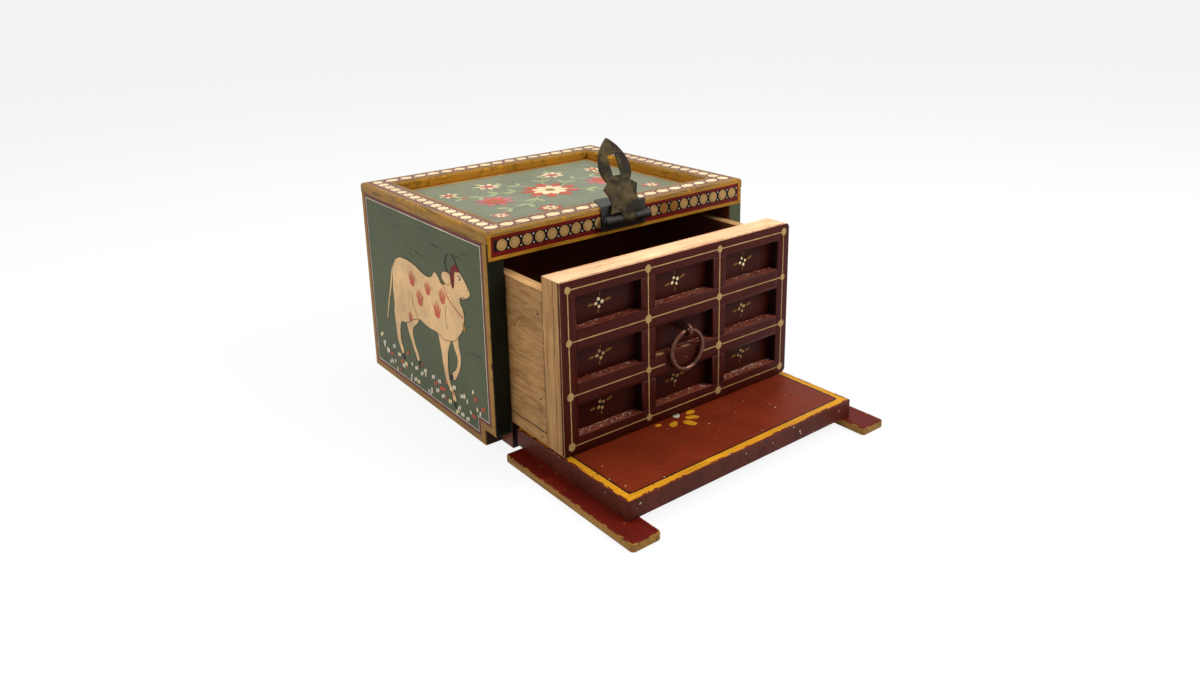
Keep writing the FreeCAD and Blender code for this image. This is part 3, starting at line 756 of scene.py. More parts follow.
    def done(self, body):
        """The marks as one piece that rides on a body."""
        for vert in self.marks.verts:
            vert.co = self.place @ vert.co
        self.marks.normal_update()
        turned = [face for face in self.marks.faces if face.normal.dot(self.out) < 0]
        bmesh.ops.reverse_faces(self.marks, faces=turned)
        piece = new_piece(self.name, self.marks, self.names)
        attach(piece, body)


def in_mm(node):
    """A node's lowest and highest corner in millimetres."""
    low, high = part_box(node)
    return low / MM, high / MM


def toward(turn):
    """A step of one millimetre, turned from straight across."""
    return Vector((math.cos(turn), math.sin(turn)))


def rectangle(left, right, low, high):
    """The corners of an upright rectangle."""
    return [(left, low), (right, low), (right, high), (left, high)]


# carcass

X, Y, Z = Vector((1, 0, 0)), Vector((0, 1, 0)), Vector((0, 0, 1))
SIDE_LOW, SIDE_HIGH = in_mm("side_left")
STRIP_LOW, STRIP_HIGH = in_mm("top_strip_front")
HALF_WIDTH = -SIDE_LOW.x
HALF_DEPTH = SIDE_HIGH.y
CARCASS_TOP = SIDE_HIGH.z
FRONT = SIDE_LOW.y
RAIL_LOW = in_mm("front_rail")[0].z
TOP_FACE = STRIP_HIGH.z
STRIP_WIDTH = STRIP_HIGH.y - STRIP_LOW.y
STRIP_ROUNDING = 0.15 * MM
NOTCH_DEPTH = 16.0
NOTCH_HEIGHT = 13.0
# how near a plane a face counts as lying in it
NEAR = 1 * MM
# how squarely a face looks one way, as a cosine
FACING = 0.7
MOSTLY = 0.6
BARELY = 0.3


def side_dress(outward):
    """Mustard edges outside, green on the front edge, near black on the left side as painted shade, painted
    shade in the finger notch, a dark wash inside.
    """
    def pick(normal, centre):
        in_notch = centre.y < (FRONT + NOTCH_DEPTH) * MM + NEAR and centre.z < NOTCH_HEIGHT * MM + NEAR
        # painted shade: the faces inside the finger notch get the dark cell maroon
        if in_notch and abs(normal.x) < BARELY:
            return "cell_maroon"
        if normal.x * outward < -FACING:
            return "inside_wash"
        # painted shade: only the left side's front edge is darkened; the right one keeps the field green
        if normal.y < -FACING and abs(centre.y - FRONT * MM) < NEAR:
            return "edge_green" if outward < 0 else "side_green"
        return "edge_mustard"
    return pick


def strip_dress(outside):
    """Gold-brown walls round the sunken top, mustard elsewhere."""
    def pick(normal, centre):
        to_middle = Vector((-centre.x, -centre.y, 0)).normalized()
        return "wall_gold" if normal.z < MOSTLY and normal.dot(to_middle) > BARELY else outside
    return pick


def outside_dress(outside, way):
    """One finish on the outer face, a wash on the others."""
    return lambda normal, centre: outside if normal.dot(way) > FACING else "inside_wash"


# boards that show one face: its finish, the way it looks, rounding in millimetres
PLAIN_BOARDS = {
    "back_panel": ("edge_mustard", Y, 0.2),
    "top_board": ("top_green", Z, 0.2),
    # painted shade: the bottom board's front edge gets the near-black recess finish
    "bottom_board": ("recess_wall", -Y, 0.5),
    "front_rail": ("rail_gold", -Y, 0.3),
}


class TRINKET_OT_carcass(bpy.types.Operator):
    """Softens and paints the boards and strips of the carcass"""

    bl_idname = "trinket.carcass"
    bl_label = "Carcass Boards"

    def execute(self, context):
        soften("side_left", side_dress(-1))
        soften("side_right", side_dress(1))
        for node, (outside, way, rounding) in PLAIN_BOARDS.items():
            soften(node, outside_dress(outside, way), rounding=rounding * MM)
        for way, brush in (("front", "x"), ("back", "x"), ("left", "y"), ("right", "y")):
            soften(f"top_strip_{way}", strip_dress(f"strip_mustard_{brush}"), rounding=STRIP_ROUNDING)
        return {"FINISHED"}


# gap above the painted fields, width of their white line
FIELD_GAP = 0.5
WHITE_LINE = 0.6


def side_field(inset, top):
    """The painted field of the left side, which steps round the finger notch."""
    far, step = HALF_DEPTH - inset, HALF_DEPTH - NOTCH_DEPTH - inset
    return [
        (-far, inset), (step, inset), (step, NOTCH_HEIGHT + inset), (far, NOTCH_HEIGHT + inset),
        (far, top), (-far, top),
    ]


def mirrored_field(inset, top):
    """The painted field of the right side."""
    return [(-x, z) for x, z in reversed(side_field(inset, top))]


def back_field(inset, top):
    """The painted field of the back."""
    return rectangle(inset - HALF_WIDTH, HALF_WIDTH - inset, inset, top)


def frame_field(painting, field):
    """A green field inside a white and a plum line."""
    sizes = bpy.context.scene.trinket_sizes
    border, line = sizes.border / MM, sizes.line / MM
    layers = (("mark_plum", 0.0, 0.15), ("mark_white", line, 0.1), ("side_green", line + WHITE_LINE, 0.1))
    for name, inset, wobble in layers:
        painting.patch(name, field(border + inset, CARCASS_TOP - FIELD_GAP - inset), wobble=wobble)
        painting.over()


# a daub, in shares of its size: how low its palm lies, width and height of the palm, places of its fingers
PALM_DROP = 0.3
PALM_WIDE = 0.66
PALM_TALL = 0.5
FINGERS = (-0.34, -0.17, 0.0, 0.17, 0.34)
# a finger: width, height of the middle one, what the outer ones lose and how they lean, how close they are,
# how far along a finger its middle lies
FINGER_WIDE = 0.15
FINGER_TALL = 0.86
FINGER_LOSS = 0.9
FINGER_LEAN = 0.9
FINGER_SPREAD = 0.8
FINGER_MIDDLE = 0.55


def flame_mark(painting, at, size):
    """A red hand-like daub: a palm with fingers above it."""
    level = at[1] - size * PALM_DROP
    painting.dab("mark_coral", (at[0], level), (size * PALM_WIDE, size * PALM_TALL), wobble=0.1)
    for finger in FINGERS:
        tall = size * (FINGER_TALL - abs(finger) * FINGER_LOSS)
        foot = Vector((at[0] + finger * size * FINGER_SPREAD, level))
        tip = foot + Vector((finger * FINGER_LEAN, 1)).normalized() * tall * FINGER_MIDDLE
        painting.dab("mark_coral", tip, (size * FINGER_WIDE, tall), turn=-finger * FINGER_LEAN, points=8)


OUTLINE = 0.5
COW_BODY = [
    (-40, 117), (-26, 119), (-11, 118), (2, 115), (13, 114), (19, 116), (25, 121), (31, 118), (35, 114),
    (44, 118), (50, 123), (52, 128), (58, 132), (64, 131), (69, 128), (75, 123), (79, 118), (77, 114),
    (70, 111), (63, 108), (67, 102), (68, 94), (65, 86), (59, 79), (52, 73), (44, 70), (34, 68), (24, 70),
    (6, 70), (-8, 72), (-20, 68), (-32, 62), (-42, 61), (-51, 65), (-54, 78), (-53, 97), (-48, 111),
]
COW_LEGS = {
    "planted": [
        (26, 76), (27, 58), (30, 41), (35, 30), (40, 26), (43, 19), (47, 20), (44, 28), (39, 34), (37, 46),
        (39, 60), (44, 76),
    ],
    "raised": [
        (46, 76), (49, 66), (53, 58), (50, 49), (43, 42), (44, 38), (52, 44), (58, 55), (59, 62), (57, 70),
        (55, 79),
    ],
    "hind_near": [
        (-52, 72), (-54, 55), (-53, 43), (-48, 33), (-44, 29), (-42, 31), (-46, 43), (-45, 56), (-37, 68),
    ],
    "hind_far": [
        (-34, 67), (-32, 58), (-26, 47), (-19, 36), (-15, 32), (-13, 34), (-20, 48), (-22, 58), (-10, 73),
    ],
}
COW_TAIL = [(-44, 114), (-53, 102), (-58, 88), (-65, 71), (-71, 54)]
TAIL_WIDTH = 3.0
COW_EAR = [(51, 123), (44, 126), (36, 121), (41, 116), (48, 117)]
COW_BROW = [(50, 125), (53, 132), (60, 135), (64, 131), (58, 129), (56, 120), (53, 115), (51, 118)]
# hooves: place, turn
COW_HOOVES = [(45, 17, 0.4), (42, 39, -0.7), (-43, 28, 0.5), (-13, 31, 0.5)]
HOOF = (4.0, 6.5)
# bell and white of the eye: paint, place, size, turn
COW_SPOTS = [("mark_mustard", (67, 88), (4, 8), 0.2), ("mark_white", (64, 125), (5.0, 3.0), -0.3)]
# pupil and nostril: place, size
COW_PUPIL = ((64.4, 125), (2.4, 2.4))
COW_NOSTRIL = ((76, 120), (1.2, 1.8))
COW_LID = [(61, 127), (64, 127.6), (67, 125.6)]
LID_WIDTH = 0.6
# daubs on the hide: place, size
COW_DAUBS = [(-16, 105, 12), (11, 104, 11), (-4, 92, 13), (35, 104, 12), (25, 90, 13), (-24, 70, 8)]
# lines over the hide: paint, width, taper, knots
COW_HORNS = [
    ("mark_black", 1.5, 0.5, [(46, 126), (43, 133), (47, 141)]),
    ("mark_black", 1.5, 0.5, [(61, 133), (59, 138), (53, 142)]),
]
COW_LINES = [
    ("mark_coral", 1.3, 0.0, [(37, 115), (45, 105), (56, 99), (66, 95)]),
    ("mark_black", 0.6, 0.0, [(62, 109), (68, 112), (73, 112), (77, 115)]),
    ("mark_black", OUTLINE, 0.0, [(41, 98), (38, 88), (41, 78)]),
    ("mark_black", OUTLINE, 0.0, [(-10, 73), (-17, 82), (-18, 92)]),
]


def painted_cow(painting):
    """A walking humped cow in the old wall-painting manner."""
    for leg in ("hind_far", "raised"):
        painting.form("mark_hide", COW_LEGS[leg])
        painting.over()
        painting.contour("mark_black", COW_LEGS[leg], OUTLINE, closed=True)
        painting.over()
    painting.contour("mark_hide", COW_TAIL, TAIL_WIDTH, taper=0.6)
    painting.form("mark_hide", COW_BODY)
    painting.over()
    painting.contour("mark_black", COW_BODY, OUTLINE, closed=True)
    for leg in ("hind_near", "planted"):
        painting.form("mark_hide", COW_LEGS[leg])
    painting.over()
    for leg in ("hind_near", "planted"):
        painting.contour("mark_black", COW_LEGS[leg][1:-1], OUTLINE)
    painting.form("mark_hide", COW_EAR)
    for x, z, turn in COW_HOOVES:
        painting.dab("mark_black", (x, z), HOOF, turn=turn)
    for x, z, size in COW_DAUBS:
        flame_mark(painting, (x, z), size)
    painting.over()
    painting.form("mark_dark_red", COW_BROW)
    for name, width, taper, knots in COW_HORNS:
        painting.contour(name, knots, width, taper=taper)
    painting.contour("mark_black", COW_EAR, OUTLINE, closed=True)
    for name, width, taper, knots in COW_LINES:
        painting.contour(name, knots, width, taper=taper)
    for name, at, size, turn in COW_SPOTS:
        painting.dab(name, at, size, turn=turn)
    painting.over()
    painting.dab("mark_black", *COW_PUPIL)
    painting.contour("mark_black", COW_LID, LID_WIDTH)
    painting.dab("mark_black", *COW_NOSTRIL)


# the meadow: spacing of its tufts, lowest petals, rise above them and how it thins out upwards,
# room beside it and beside the notch
TUFT_SPACING = 1.5
MEADOW_LOW = 12
MEADOW_RISE = 25
MEADOW_THINNING = 1.4
MEADOW_ROOM = 17
NOTCH_ROOM = 16
MEADOW_PAINTS = ("mark_white", "mark_white", "mark_cream", "mark_coral")
# a tuft: its lean, the step to its next petal across and up, how uneven that is, size of a petal
TUFT_LEAN = (-0.5, 0.1)
TUFT_ACROSS = 2.8
TUFT_UP = 1.0
TUFT_SHAKE = 0.8
TUFT_PETAL = (2.4, 4.0)
# scratches: how high they start at most, how far they run across and up, how far they bow
SCRATCH_TOP = 152
SCRATCH_ACROSS = (6, 22)
SCRATCH_UP = (-5, 3)
SCRATCH_BOW = Vector((0, 0.4))


def meadow(painting, reach, notch):
    """Tufts of small petals along the foot of a side, higher over a finger notch at that end."""
    count = round(reach / TUFT_SPACING)
    for tuft in range(count):
        across = reach * (2 * (tuft + painting.chance.random()) / count - 1)
        high = MEADOW_LOW + MEADOW_RISE * painting.chance.random() ** MEADOW_THINNING
        if across * notch > HALF_DEPTH - NOTCH_DEPTH - NOTCH_ROOM:
            high += NOTCH_HEIGHT
        name = painting.chance.choice(MEADOW_PAINTS)
        lean = painting.chance.uniform(*TUFT_LEAN)
        for petal in range(painting.chance.randint(1, 2)):
            level = high + petal * TUFT_UP + painting.chance.uniform(-TUFT_SHAKE, TUFT_SHAKE)
            at = (across + petal * TUFT_ACROSS, level)
            painting.dab(name, at, TUFT_PETAL, turn=lean, points=9, wobble=0.12)


def scratches(painting, count, wide, low):
    """Short fine scratches, most of them near level."""
    for scratch in range(count):
        start = Vector((painting.chance.uniform(-wide, wide), painting.chance.uniform(low, SCRATCH_TOP)))
        run = Vector((painting.chance.uniform(*SCRATCH_ACROSS), painting.chance.uniform(*SCRATCH_UP)))
        knots = [start, start + run * 0.5 + SCRATCH_BOW, start + run]
        painting.contour("mark_black", knots, OUTLINE, taper=0.8)


# painting: place, its way across, its field, half its width, end with the notch, seed,
# and its scratches: how many, how far from the middle, how low
SIDE_PAINTINGS = {
    "side_left_painting": ((-HALF_WIDTH, 0), -Y, side_field, HALF_DEPTH, 1, 3, (9, 80, 60)),
    "side_right_painting": ((HALF_WIDTH, 0), Y, mirrored_field, HALF_DEPTH, -1, 4, (9, 80, 60)),
    "back_painting": ((0, HALF_DEPTH), -X, back_field, HALF_WIDTH, 0, 5, (12, 100, 40)),
}


class TRINKET_OT_side_paintings(bpy.types.Operator):
    """Paints the fields of the sides and the back"""

    bl_idname = "trinket.side_paintings"
    bl_label = "Side Paintings"

    def execute(self, context):
        for name, ((x, y), across, field, half, notch, seed, scratched) in SIDE_PAINTINGS.items():
            painting = Painting(name, (x * MM, y * MM, 0), across, Z, seed)
            frame_field(painting, field)
            if notch:
                painted_cow(painting)
            meadow(painting, half - MEADOW_ROOM, notch)
            scratches(painting, *scratched)
            painting.done("carcass")
        return {"FINISHED"}


# beaded band, top and coins

# how uneven beads are, how far out the dots between them lie as a share of a bead's width, size of a dot
BEAD_UNEVEN = (0.92, 1.04)
DOT_REACH = 0.46
BEAD_DOT = (1.7, 1.5)
# a wide band is painted in steps of this share of its width
BAND_STEP = 0.7


def bead_row(painting, start, end, pitch, sizes):
    """Beads set evenly from one point to another, with two dots in each gap."""
    start, end = Vector(start), Vector(end)
    way = end - start
    count = round(way.length / pitch)
    turn = math.atan2(way.y, way.x)
    sideways = Vector((-way.y, way.x)).normalized() * sizes.bead_width / MM * DOT_REACH
    for number in range(count):
        long = (pitch - sizes.bead_gap / MM) * painting.chance.uniform(*BEAD_UNEVEN)
        wide = sizes.bead_width / MM * painting.chance.uniform(*BEAD_UNEVEN)
        painting.dab("mark_cream", start.lerp(end, number / count), (long, wide), turn=turn, wobble=0.07)
        gap = start.lerp(end, (number + 0.5) / count)
        for side in (-1, 1):
            painting.dab("mark_cream", gap + sideways * side, BEAD_DOT, points=8, wobble=0.15)


def ring_line(painting, name, half_x, half_y, width, wobble=0.12, radius=0.0):
    """A painted band along the four sides of a rectangle, by its middle line."""
    corners = rectangle(radius - half_x, half_x - radius, radius - half_y, half_y - radius)
    if radius:
        turns = [[math.pi * (1 + number / 2 + step / 6) for step in range(4)] for number in range(4)]
        corners = [
            Vector(corner) + toward(turn) * radius for corner, arc in zip(corners, turns) for turn in arc
        ]
    step = max(BRUSH_STEP, BAND_STEP * width)
    painting.stroke(name, corners, width, closed=True, wobble=wobble, step=step)


class TRINKET_OT_bead_band(bpy.types.Operator):
    """Paints the beaded band on the strips round the top"""

    bl_idname = "trinket.bead_band"
    bl_label = "Beaded Band"

    def execute(self, context):
        sizes = context.scene.trinket_sizes
        half_x, half_y = HALF_WIDTH - STRIP_WIDTH / 2, HALF_DEPTH - STRIP_WIDTH / 2
        painting = Painting("bead_band", (0, 0, TOP_FACE * MM), X, Y, seed=8)
        ring_line(painting, "mark_mauve", half_x, half_y, sizes.band_width / MM)
        painting.over()
        corners = rectangle(-half_x, half_x, -half_y, half_y)
        pitches = (sizes.front_pitch, sizes.bead_pitch, sizes.front_pitch, sizes.bead_pitch)
        for start, end, pitch in zip(corners, corners[1:] + corners[:1], pitches):
            bead_row(painting, start, end, pitch / MM, sizes)
        painting.done("carcass")
        return {"FINISHED"}


# blossoms on the top: middle, size, number of petals, outer petals, inner petals
BLOSSOMS = [
    ((0, -2), 44, 9, "mark_coral", "mark_cream"),
    ((56, -4), 30, 8, "mark_pink", "mark_coral"),
    ((34, 44), 19, 7, "mark_cream", "mark_pink"),
    ((34, -52), 19, 7, "mark_coral", "mark_cream"),
    ((76, 38), 15, 6, "mark_cream", "mark_coral"),
    ((76, -46), 15, 6, "mark_pink", "mark_cream"),
]
# outer and inner petals: how far they reach, how wide they are, as shares of a blossom
PETAL_RINGS = [(1.0, 0.46), (0.62, 0.34)]
# a petal, in shares of those: how far out its middle lies, its length, its width
PETAL_MIDDLE = 0.32
PETAL_LONG = 0.52
PETAL_WIDE = 0.5
BLOSSOM_HEART = 0.2


def petal_ring(painting, at, size, petals, name, ring):
    """The outer or, from 1 on, an inner ring of a blossom's petals."""
    reach, wide = PETAL_RINGS[ring]
    for petal in range(petals):
        turn = 2 * math.pi * (petal + ring / 2) / petals
        middle = Vector(at) + toward(turn) * size * reach * PETAL_MIDDLE
        petal_size = (size * reach * PETAL_LONG, size * wide * PETAL_WIDE)
        painting.dab(name, middle, petal_size, turn=turn, wobble=0.06)


def blossoms(painting):
    """Open flowers, mirrored left and right: all the outer petals, then the inner ones, then the hearts."""
    flowers = BLOSSOMS + [((-at[0], at[1]), *rest) for at, *rest in BLOSSOMS[1:]]
    for ring in range(2):
        for at, size, petals, *names in flowers:
            petal_ring(painting, at, size, petals, names[ring], ring)
        painting.over()
    for at, size, *rest in flowers:
        painting.dab("mark_mustard", at, (size * BLOSSOM_HEART, size * BLOSSOM_HEART))


# a spray: width of its stem, lean of a leaf, how far from the stem its middle lies, size of a leaf, of a bud
STEM_WIDTH = 1.5
LEAF_LEAN = 0.8
LEAF_REACH = 6
LEAF = (11, 4.2)
BUD = (7, 5)


def spray(painting, root, stem, mirror):
    """A curved stem with leaves on both sides and buds at its end."""
    points = [(mirror * (root[0] + x), root[1] + y) for x, y in stem]
    painting.contour("mark_leaf", points, STEM_WIDTH, taper=0.5)
    for index in range(1, len(points)):
        way = Vector(points[index]) - Vector(points[index - 1])
        turn = math.atan2(way.y, way.x)
        for side in (-1, 1):
            lean = turn + side * LEAF_LEAN
            middle = Vector(points[index]) + toward(lean) * LEAF_REACH
            painting.dab("mark_leaf", middle, LEAF, turn=lean, wobble=0.06)
    painting.dab("mark_coral", points[-1], BUD, wobble=0.08)


# lines round the sunken top: paint, distance from its edge, width
TOP_LINES = [
    ("mark_dark_red", 0.8, 1.6), ("mark_yellow", 2.4, 1.6), ("mark_dark_red", 3.8, 1.0),
    ("mark_gold", 7.4, 0.8),
]
# sprays right of the large blossom: root, stem from there
SPRAYS = [
    ((14, 0), [(0, 0), (12, 12), (26, 18), (42, 16), (56, 22)]),
    ((14, -6), [(0, 0), (12, -14), (26, -24), (44, -26), (58, -36)]),
    ((6, 14), [(0, 0), (6, 14), (16, 26), (30, 36)]),
]


class TRINKET_OT_top_painting(bpy.types.Operator):
    """Paints flowers and fine lines on the sunken top"""

    bl_idname = "trinket.top_painting"
    bl_label = "Top Flowers"

    def execute(self, context):
        half_x, half_y = HALF_WIDTH - STRIP_WIDTH, HALF_DEPTH - STRIP_WIDTH
        painting = Painting("top_painting", (0, 0, CARCASS_TOP * MM), X, Y, seed=9)
        for name, inset, width in TOP_LINES:
            ring_line(painting, name, half_x - inset, half_y - inset, width)
        painting.over()
        for mirror in (-1, 1):
            for root, stem in SPRAYS:
                spray(painting, root, stem, mirror)
        painting.over()
        blossoms(painting)
        painting.done("carcass")
        return {"FINISHED"}


# the row of coins: middles of the first and the last, how many, which ones are discoloured
FIRST_COIN = -112.2
LAST_COIN = 113.2
COINS = 22
DULL_COINS = (14, 15)
COIN_PITCH = (LAST_COIN - FIRST_COIN) / (COINS - 1)
# rings of a coin: share of its size, points, wobble, paint, paint on a discoloured coin
COIN_RINGS = [
    (1.0, 20, 0.03, "mark_coin", "mark_mustard"),
    (0.75, 18, 0.04, "mark_mustard", "mark_mustard"),
    (0.67, 18, 0.06, "mark_coin", "mark_rust"),
]
# grounds under the coins: paint, distance from the rail's ends, wobble
RAIL_GROUNDS = [("rail_gold", 1.2, 0.15), ("mark_dark_red", 4.0, 0.15), ("mark_black", 6.2, 0.1)]
# room under and over the gold one, how far the red and the black one reach below and above the row's middle
GOLD_ROOM = (0.3, 2.5)
RED_REACH = (7.8, 6.9)
BLACK_REACH = (4.4, 4.4)
# dots between the coins: distance from the row's middle, size
COIN_DOT_REACH = 3.2
COIN_DOT = (1.3, 1.3)


class TRINKET_OT_coin_band(bpy.types.Operator):
    """Paints the row of coins on the rail"""

    bl_idname = "trinket.coin_band"
    bl_label = "Coin Band"

    def execute(self, context):
        sizes = context.scene.trinket_sizes
        radius, level = sizes.coin_radius / MM, sizes.coin_height / MM
        painting = Painting("coin_band", (0, FRONT * MM, 0), X, Z, seed=11)
        heights = [(RAIL_LOW + GOLD_ROOM[0], TOP_FACE - GOLD_ROOM[1])]
        heights += [(level - below, level + above) for below, above in (RED_REACH, BLACK_REACH)]
        for (name, inset, wobble), (low, high) in zip(RAIL_GROUNDS, heights):
            painting.patch(name, rectangle(inset - HALF_WIDTH, HALF_WIDTH - inset, low, high), wobble=wobble)
            painting.over()
        for ring, (share, points, wobble, bright, dull) in enumerate(COIN_RINGS):
            across = 2 * radius * share
            for number in range(COINS):
                x = FIRST_COIN + COIN_PITCH * number
                name = dull if number in DULL_COINS else bright
                painting.dab(name, (x, level), (across, across), points=points, wobble=wobble)
                if ring == 0:
                    self.dot_gap(painting, x + COIN_PITCH / 2, level)
            painting.over()
        painting.done("carcass")
        return {"FINISHED"}

    def dot_gap(self, painting, x, level):
        """Two white dots between one coin and the next."""
        for side in (-1, 1):
            painting.dab("mark_white", (x, level + side * COIN_DOT_REACH), COIN_DOT, points=8)


# hasp

HASP_IRON = {"hasp_fixed_leaf": "black_iron", "hasp_hinge_pin": "black_iron", "hasp_strap": "dark_iron"}
HASP_ROUNDING = 0.25 * MM


class TRINKET_OT_hasp(bpy.types.Operator):
    """Softens and darkens the hasp, its pin and its fixed leaf"""

    bl_idname = "trinket.hasp"
    bl_label = "Hasp"

    def execute(self, context):
        for node, iron in HASP_IRON.items():
            soften(node, all_over(iron), rounding=HASP_ROUNDING, curved=True)
        return {"FINISHED"}


# drawer, lattice and ring

LATTICE_RIM = 5 * MM


def lattice_dress(normal, centre):
    """Maroon bars with a bare top edge in a paler wood as painted light, cell walls darkened as painted
    shade, and rubbed ledges.
    """
    low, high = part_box("drawer_front_board")
    if normal.z > MOSTLY:
        # painted light: the lattice's top edge takes the paler edge wood
        return "edge_x" if centre.z > high.z - LATTICE_RIM else "ledge_maroon"
    at_end = abs(centre.x) > high.x - LATTICE_RIM
    if abs(normal.x) > MOSTLY and at_end:
        return "wood_z"
    inside = not at_end and low.z + LATTICE_RIM < centre.z < high.z - LATTICE_RIM
    # painted shade: the inner walls of the cells are near black
    return "recess_wall" if inside and normal.y > -BARELY else "lattice_maroon"


def drawer_dress(grain):
    """Maroon in the cells, a dark wash inside the drawer, raw wood elsewhere, paler on upward edges as
    painted light.
    """
    low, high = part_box("drawer_front_board")
    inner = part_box("drawer_back")[0]
    hollow = Vector((0, (high.y + inner.y) / 2, (inner.z + high.z) / 2))

    def pick(normal, centre):
        if normal.y < -FACING and abs(centre.y - low.y) < NEAR:
            return "cell_maroon"
        if grain == "wood_x" and abs(normal.x) > FACING:
            return "wood_z"
        if normal.z > FACING:
            # painted light: upward edges take the paler edge copy of their wood
            return "inside_wash" if centre.z < inner.z + NEAR else grain.replace("wood", "edge")
        return "inside_wash" if normal.dot(hollow - centre) > 0 else grain
    return pick


DRAWER_BOARDS = {
    "drawer_bottom": "wood_y", "drawer_side_left": "wood_y", "drawer_side_right": "wood_y",
    "drawer_back": "wood_x",
}
DRAWER_ROUNDING = 0.4 * MM
# nails: radius of the head and of its top, thickness, how far it is sunk, number of its corners
NAIL_RADIUS = 1.3 * MM
NAIL_TOP = 1.0 * MM
NAIL_HEAD = 0.5 * MM
NAIL_SUNK = 0.12 * MM
NAIL_CORNERS = 14
# where they are driven: distance from the front and the back, from the foot, the lower edge and the top
NAIL_ROWS = (6 * MM, 5 * MM)
NAIL_HEIGHTS = (5 * MM, 24 * MM, 18 * MM)
# pores in the drawer's sides: how many, room round them and at the front, length, slope, width
PORES = 170
PORE_ROOM = 2
PORE_FRONT_ROOM = 9
PORE_LONG = (1.5, 6.5)
PORE_SLOPE = (-0.5, 0.5)
PORE_WIDE = (0.2, 0.5)
# knots in the drawer's sides: distance from the front, height, radius of the first line, step to the next
KNOTS = [(21, 104, 1.5, 2.2), (34, 62, 1.2, 2.0)]
KNOT_LINES = 6
KNOT_SHAPE = [(-2.2, -0.5), (-1.1, 0.35), (0.0, 0.62), (1.0, 0.4), (2.0, -0.3)]
# a line round a knot: how uneven it is, its length as a share of its shape's, its width
KNOT_UNEVEN = (0.8, 1.2)
KNOT_LONG = 0.8
KNOT_WIDE = 0.9
# cracks near the front: heights, where they start and end behind it, their fall, their width
CRACK_HEIGHTS = (49.5, 47.6, 45.8)
CRACK_START = (8, 12)
CRACK_END = 2.5
CRACK_FALL = 0.6
CRACK_WIDE = 0.5
# open joints at the bottom board and at the front: widths, room under and over the second
BOTTOM_JOINT = 0.55
FRONT_JOINT = 0.3
JOINT_ROOM = (0.5, 0.8)


class TRINKET_OT_drawer(bpy.types.Operator):
    """Softens the drawer's raw boards and drives its small nails"""

    bl_idname = "trinket.drawer"
    bl_label = "Drawer Boards"

    def execute(self, context):
        low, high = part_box("drawer_front_board")
        trims = corner_planes((low.z, high.z))
        dress = drawer_dress("wood_x")
        clear_runner(soften("drawer_front_board", dress, rounding=DRAWER_ROUNDING, curved=True, trims=trims))
        for node, grain in DRAWER_BOARDS.items():
            soften(node, drawer_dress(grain))
        self.drive_nails()
        for side, name in ((-1, "left"), (1, "right")):
            self.age_side(side, name)
        return {"FINISHED"}

    def age_side(self, side, name):
        """Open joints, pores, cracks and curly figure on one side of the drawer."""
        low, high = in_mm(f"drawer_side_{name}")
        face = side * -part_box("drawer_side_left")[0].x
        front, back, foot = side * low.y, side * high.y, in_mm("drawer_bottom")[0].z
        age = Painting(f"drawer_side_{name}_age", (face, 0, 0), side * Y, Z, seed=24 + side)
        chance = age.chance
        way = math.copysign(1, front - back)
        for pore in range(PORES):
            along = chance.uniform(back + way * PORE_ROOM, front - way * PORE_FRONT_ROOM)
            start = Vector((along, chance.uniform(foot + PORE_ROOM, high.z - PORE_ROOM)))
            end = start + Vector((way * chance.uniform(*PORE_LONG), chance.uniform(*PORE_SLOPE)))
            age.stroke("mark_pore", [start, end], chance.uniform(*PORE_WIDE), wobble=0.05, taper=0.7)
        age.over()
        for ring in range(KNOT_LINES):
            for inward, height, first, spacing in KNOTS:
                self.curl(age, (front - way * inward, height), way, first + ring * spacing)
        age.over()
        for height in CRACK_HEIGHTS:
            start = (front - way * chance.uniform(*CRACK_START), height)
            end = (front - way * CRACK_END, height - CRACK_FALL)
            age.stroke("mark_black", [start, end], CRACK_WIDE, wobble=0.12, taper=0.5)
        age.stroke("mark_black", [(back, low.z), (front, low.z)], BOTTOM_JOINT, wobble=0.2)
        joint = [(front, foot + JOINT_ROOM[0]), (front, high.z - JOINT_ROOM[1])]
        age.stroke("mark_black", joint, FRONT_JOINT, wobble=0.1)
        age.done("drawer")

    def curl(self, painting, heart, way, radius):
        """One arched line of curly figure round a knot."""
        knots = []
        for x, z in KNOT_SHAPE:
            shake = painting.chance.uniform(*KNOT_UNEVEN)
            knots.append((heart[0] + way * x * radius * KNOT_LONG * shake, heart[1] + z * radius * shake))
        painting.contour("mark_figure", knots, KNOT_WIDE, taper=0.7)

    def drive_nails(self):
        """Nail heads, a little sunk, where the sides meet the front, the back and the bottom."""
        low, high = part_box("drawer_side_left")
        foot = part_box("drawer_bottom")[0].z
        from_front, from_back = NAIL_ROWS
        from_foot, from_edge, from_top = NAIL_HEIGHTS
        rows = (low.y + from_front, (low.y + high.y) / 2, high.y - from_back)
        heights = (foot + from_foot, low.z + from_edge, high.z - from_top)
        bm = bmesh.new()
        for side in (-1, 1):
            for y in rows:
                for z in heights:
                    head = Matrix.Translation((side * (-low.x - NAIL_SUNK), y, z))
                    head @= Matrix.Rotation(side * math.pi / 2, 4, "Y")
                    bmesh.ops.create_cone(
                        bm, cap_ends=True, segments=NAIL_CORNERS, radius1=NAIL_RADIUS, radius2=NAIL_TOP,
                        depth=NAIL_HEAD, matrix=head,
                    )
        piece = new_piece("drawer_nails", bm, ["rusty_iron"])
        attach(piece, "drawer")


# leaves of a cell's flower: direction in degrees, distance from its heart, length, width
CELL_LEAVES = [(14, 7.8, 6.0, 2.3), (186, 7.4, 5.2, 2.0), (-92, 6.2, 3.2, 1.2), (88, 6.4, 3.0, 0.9)]
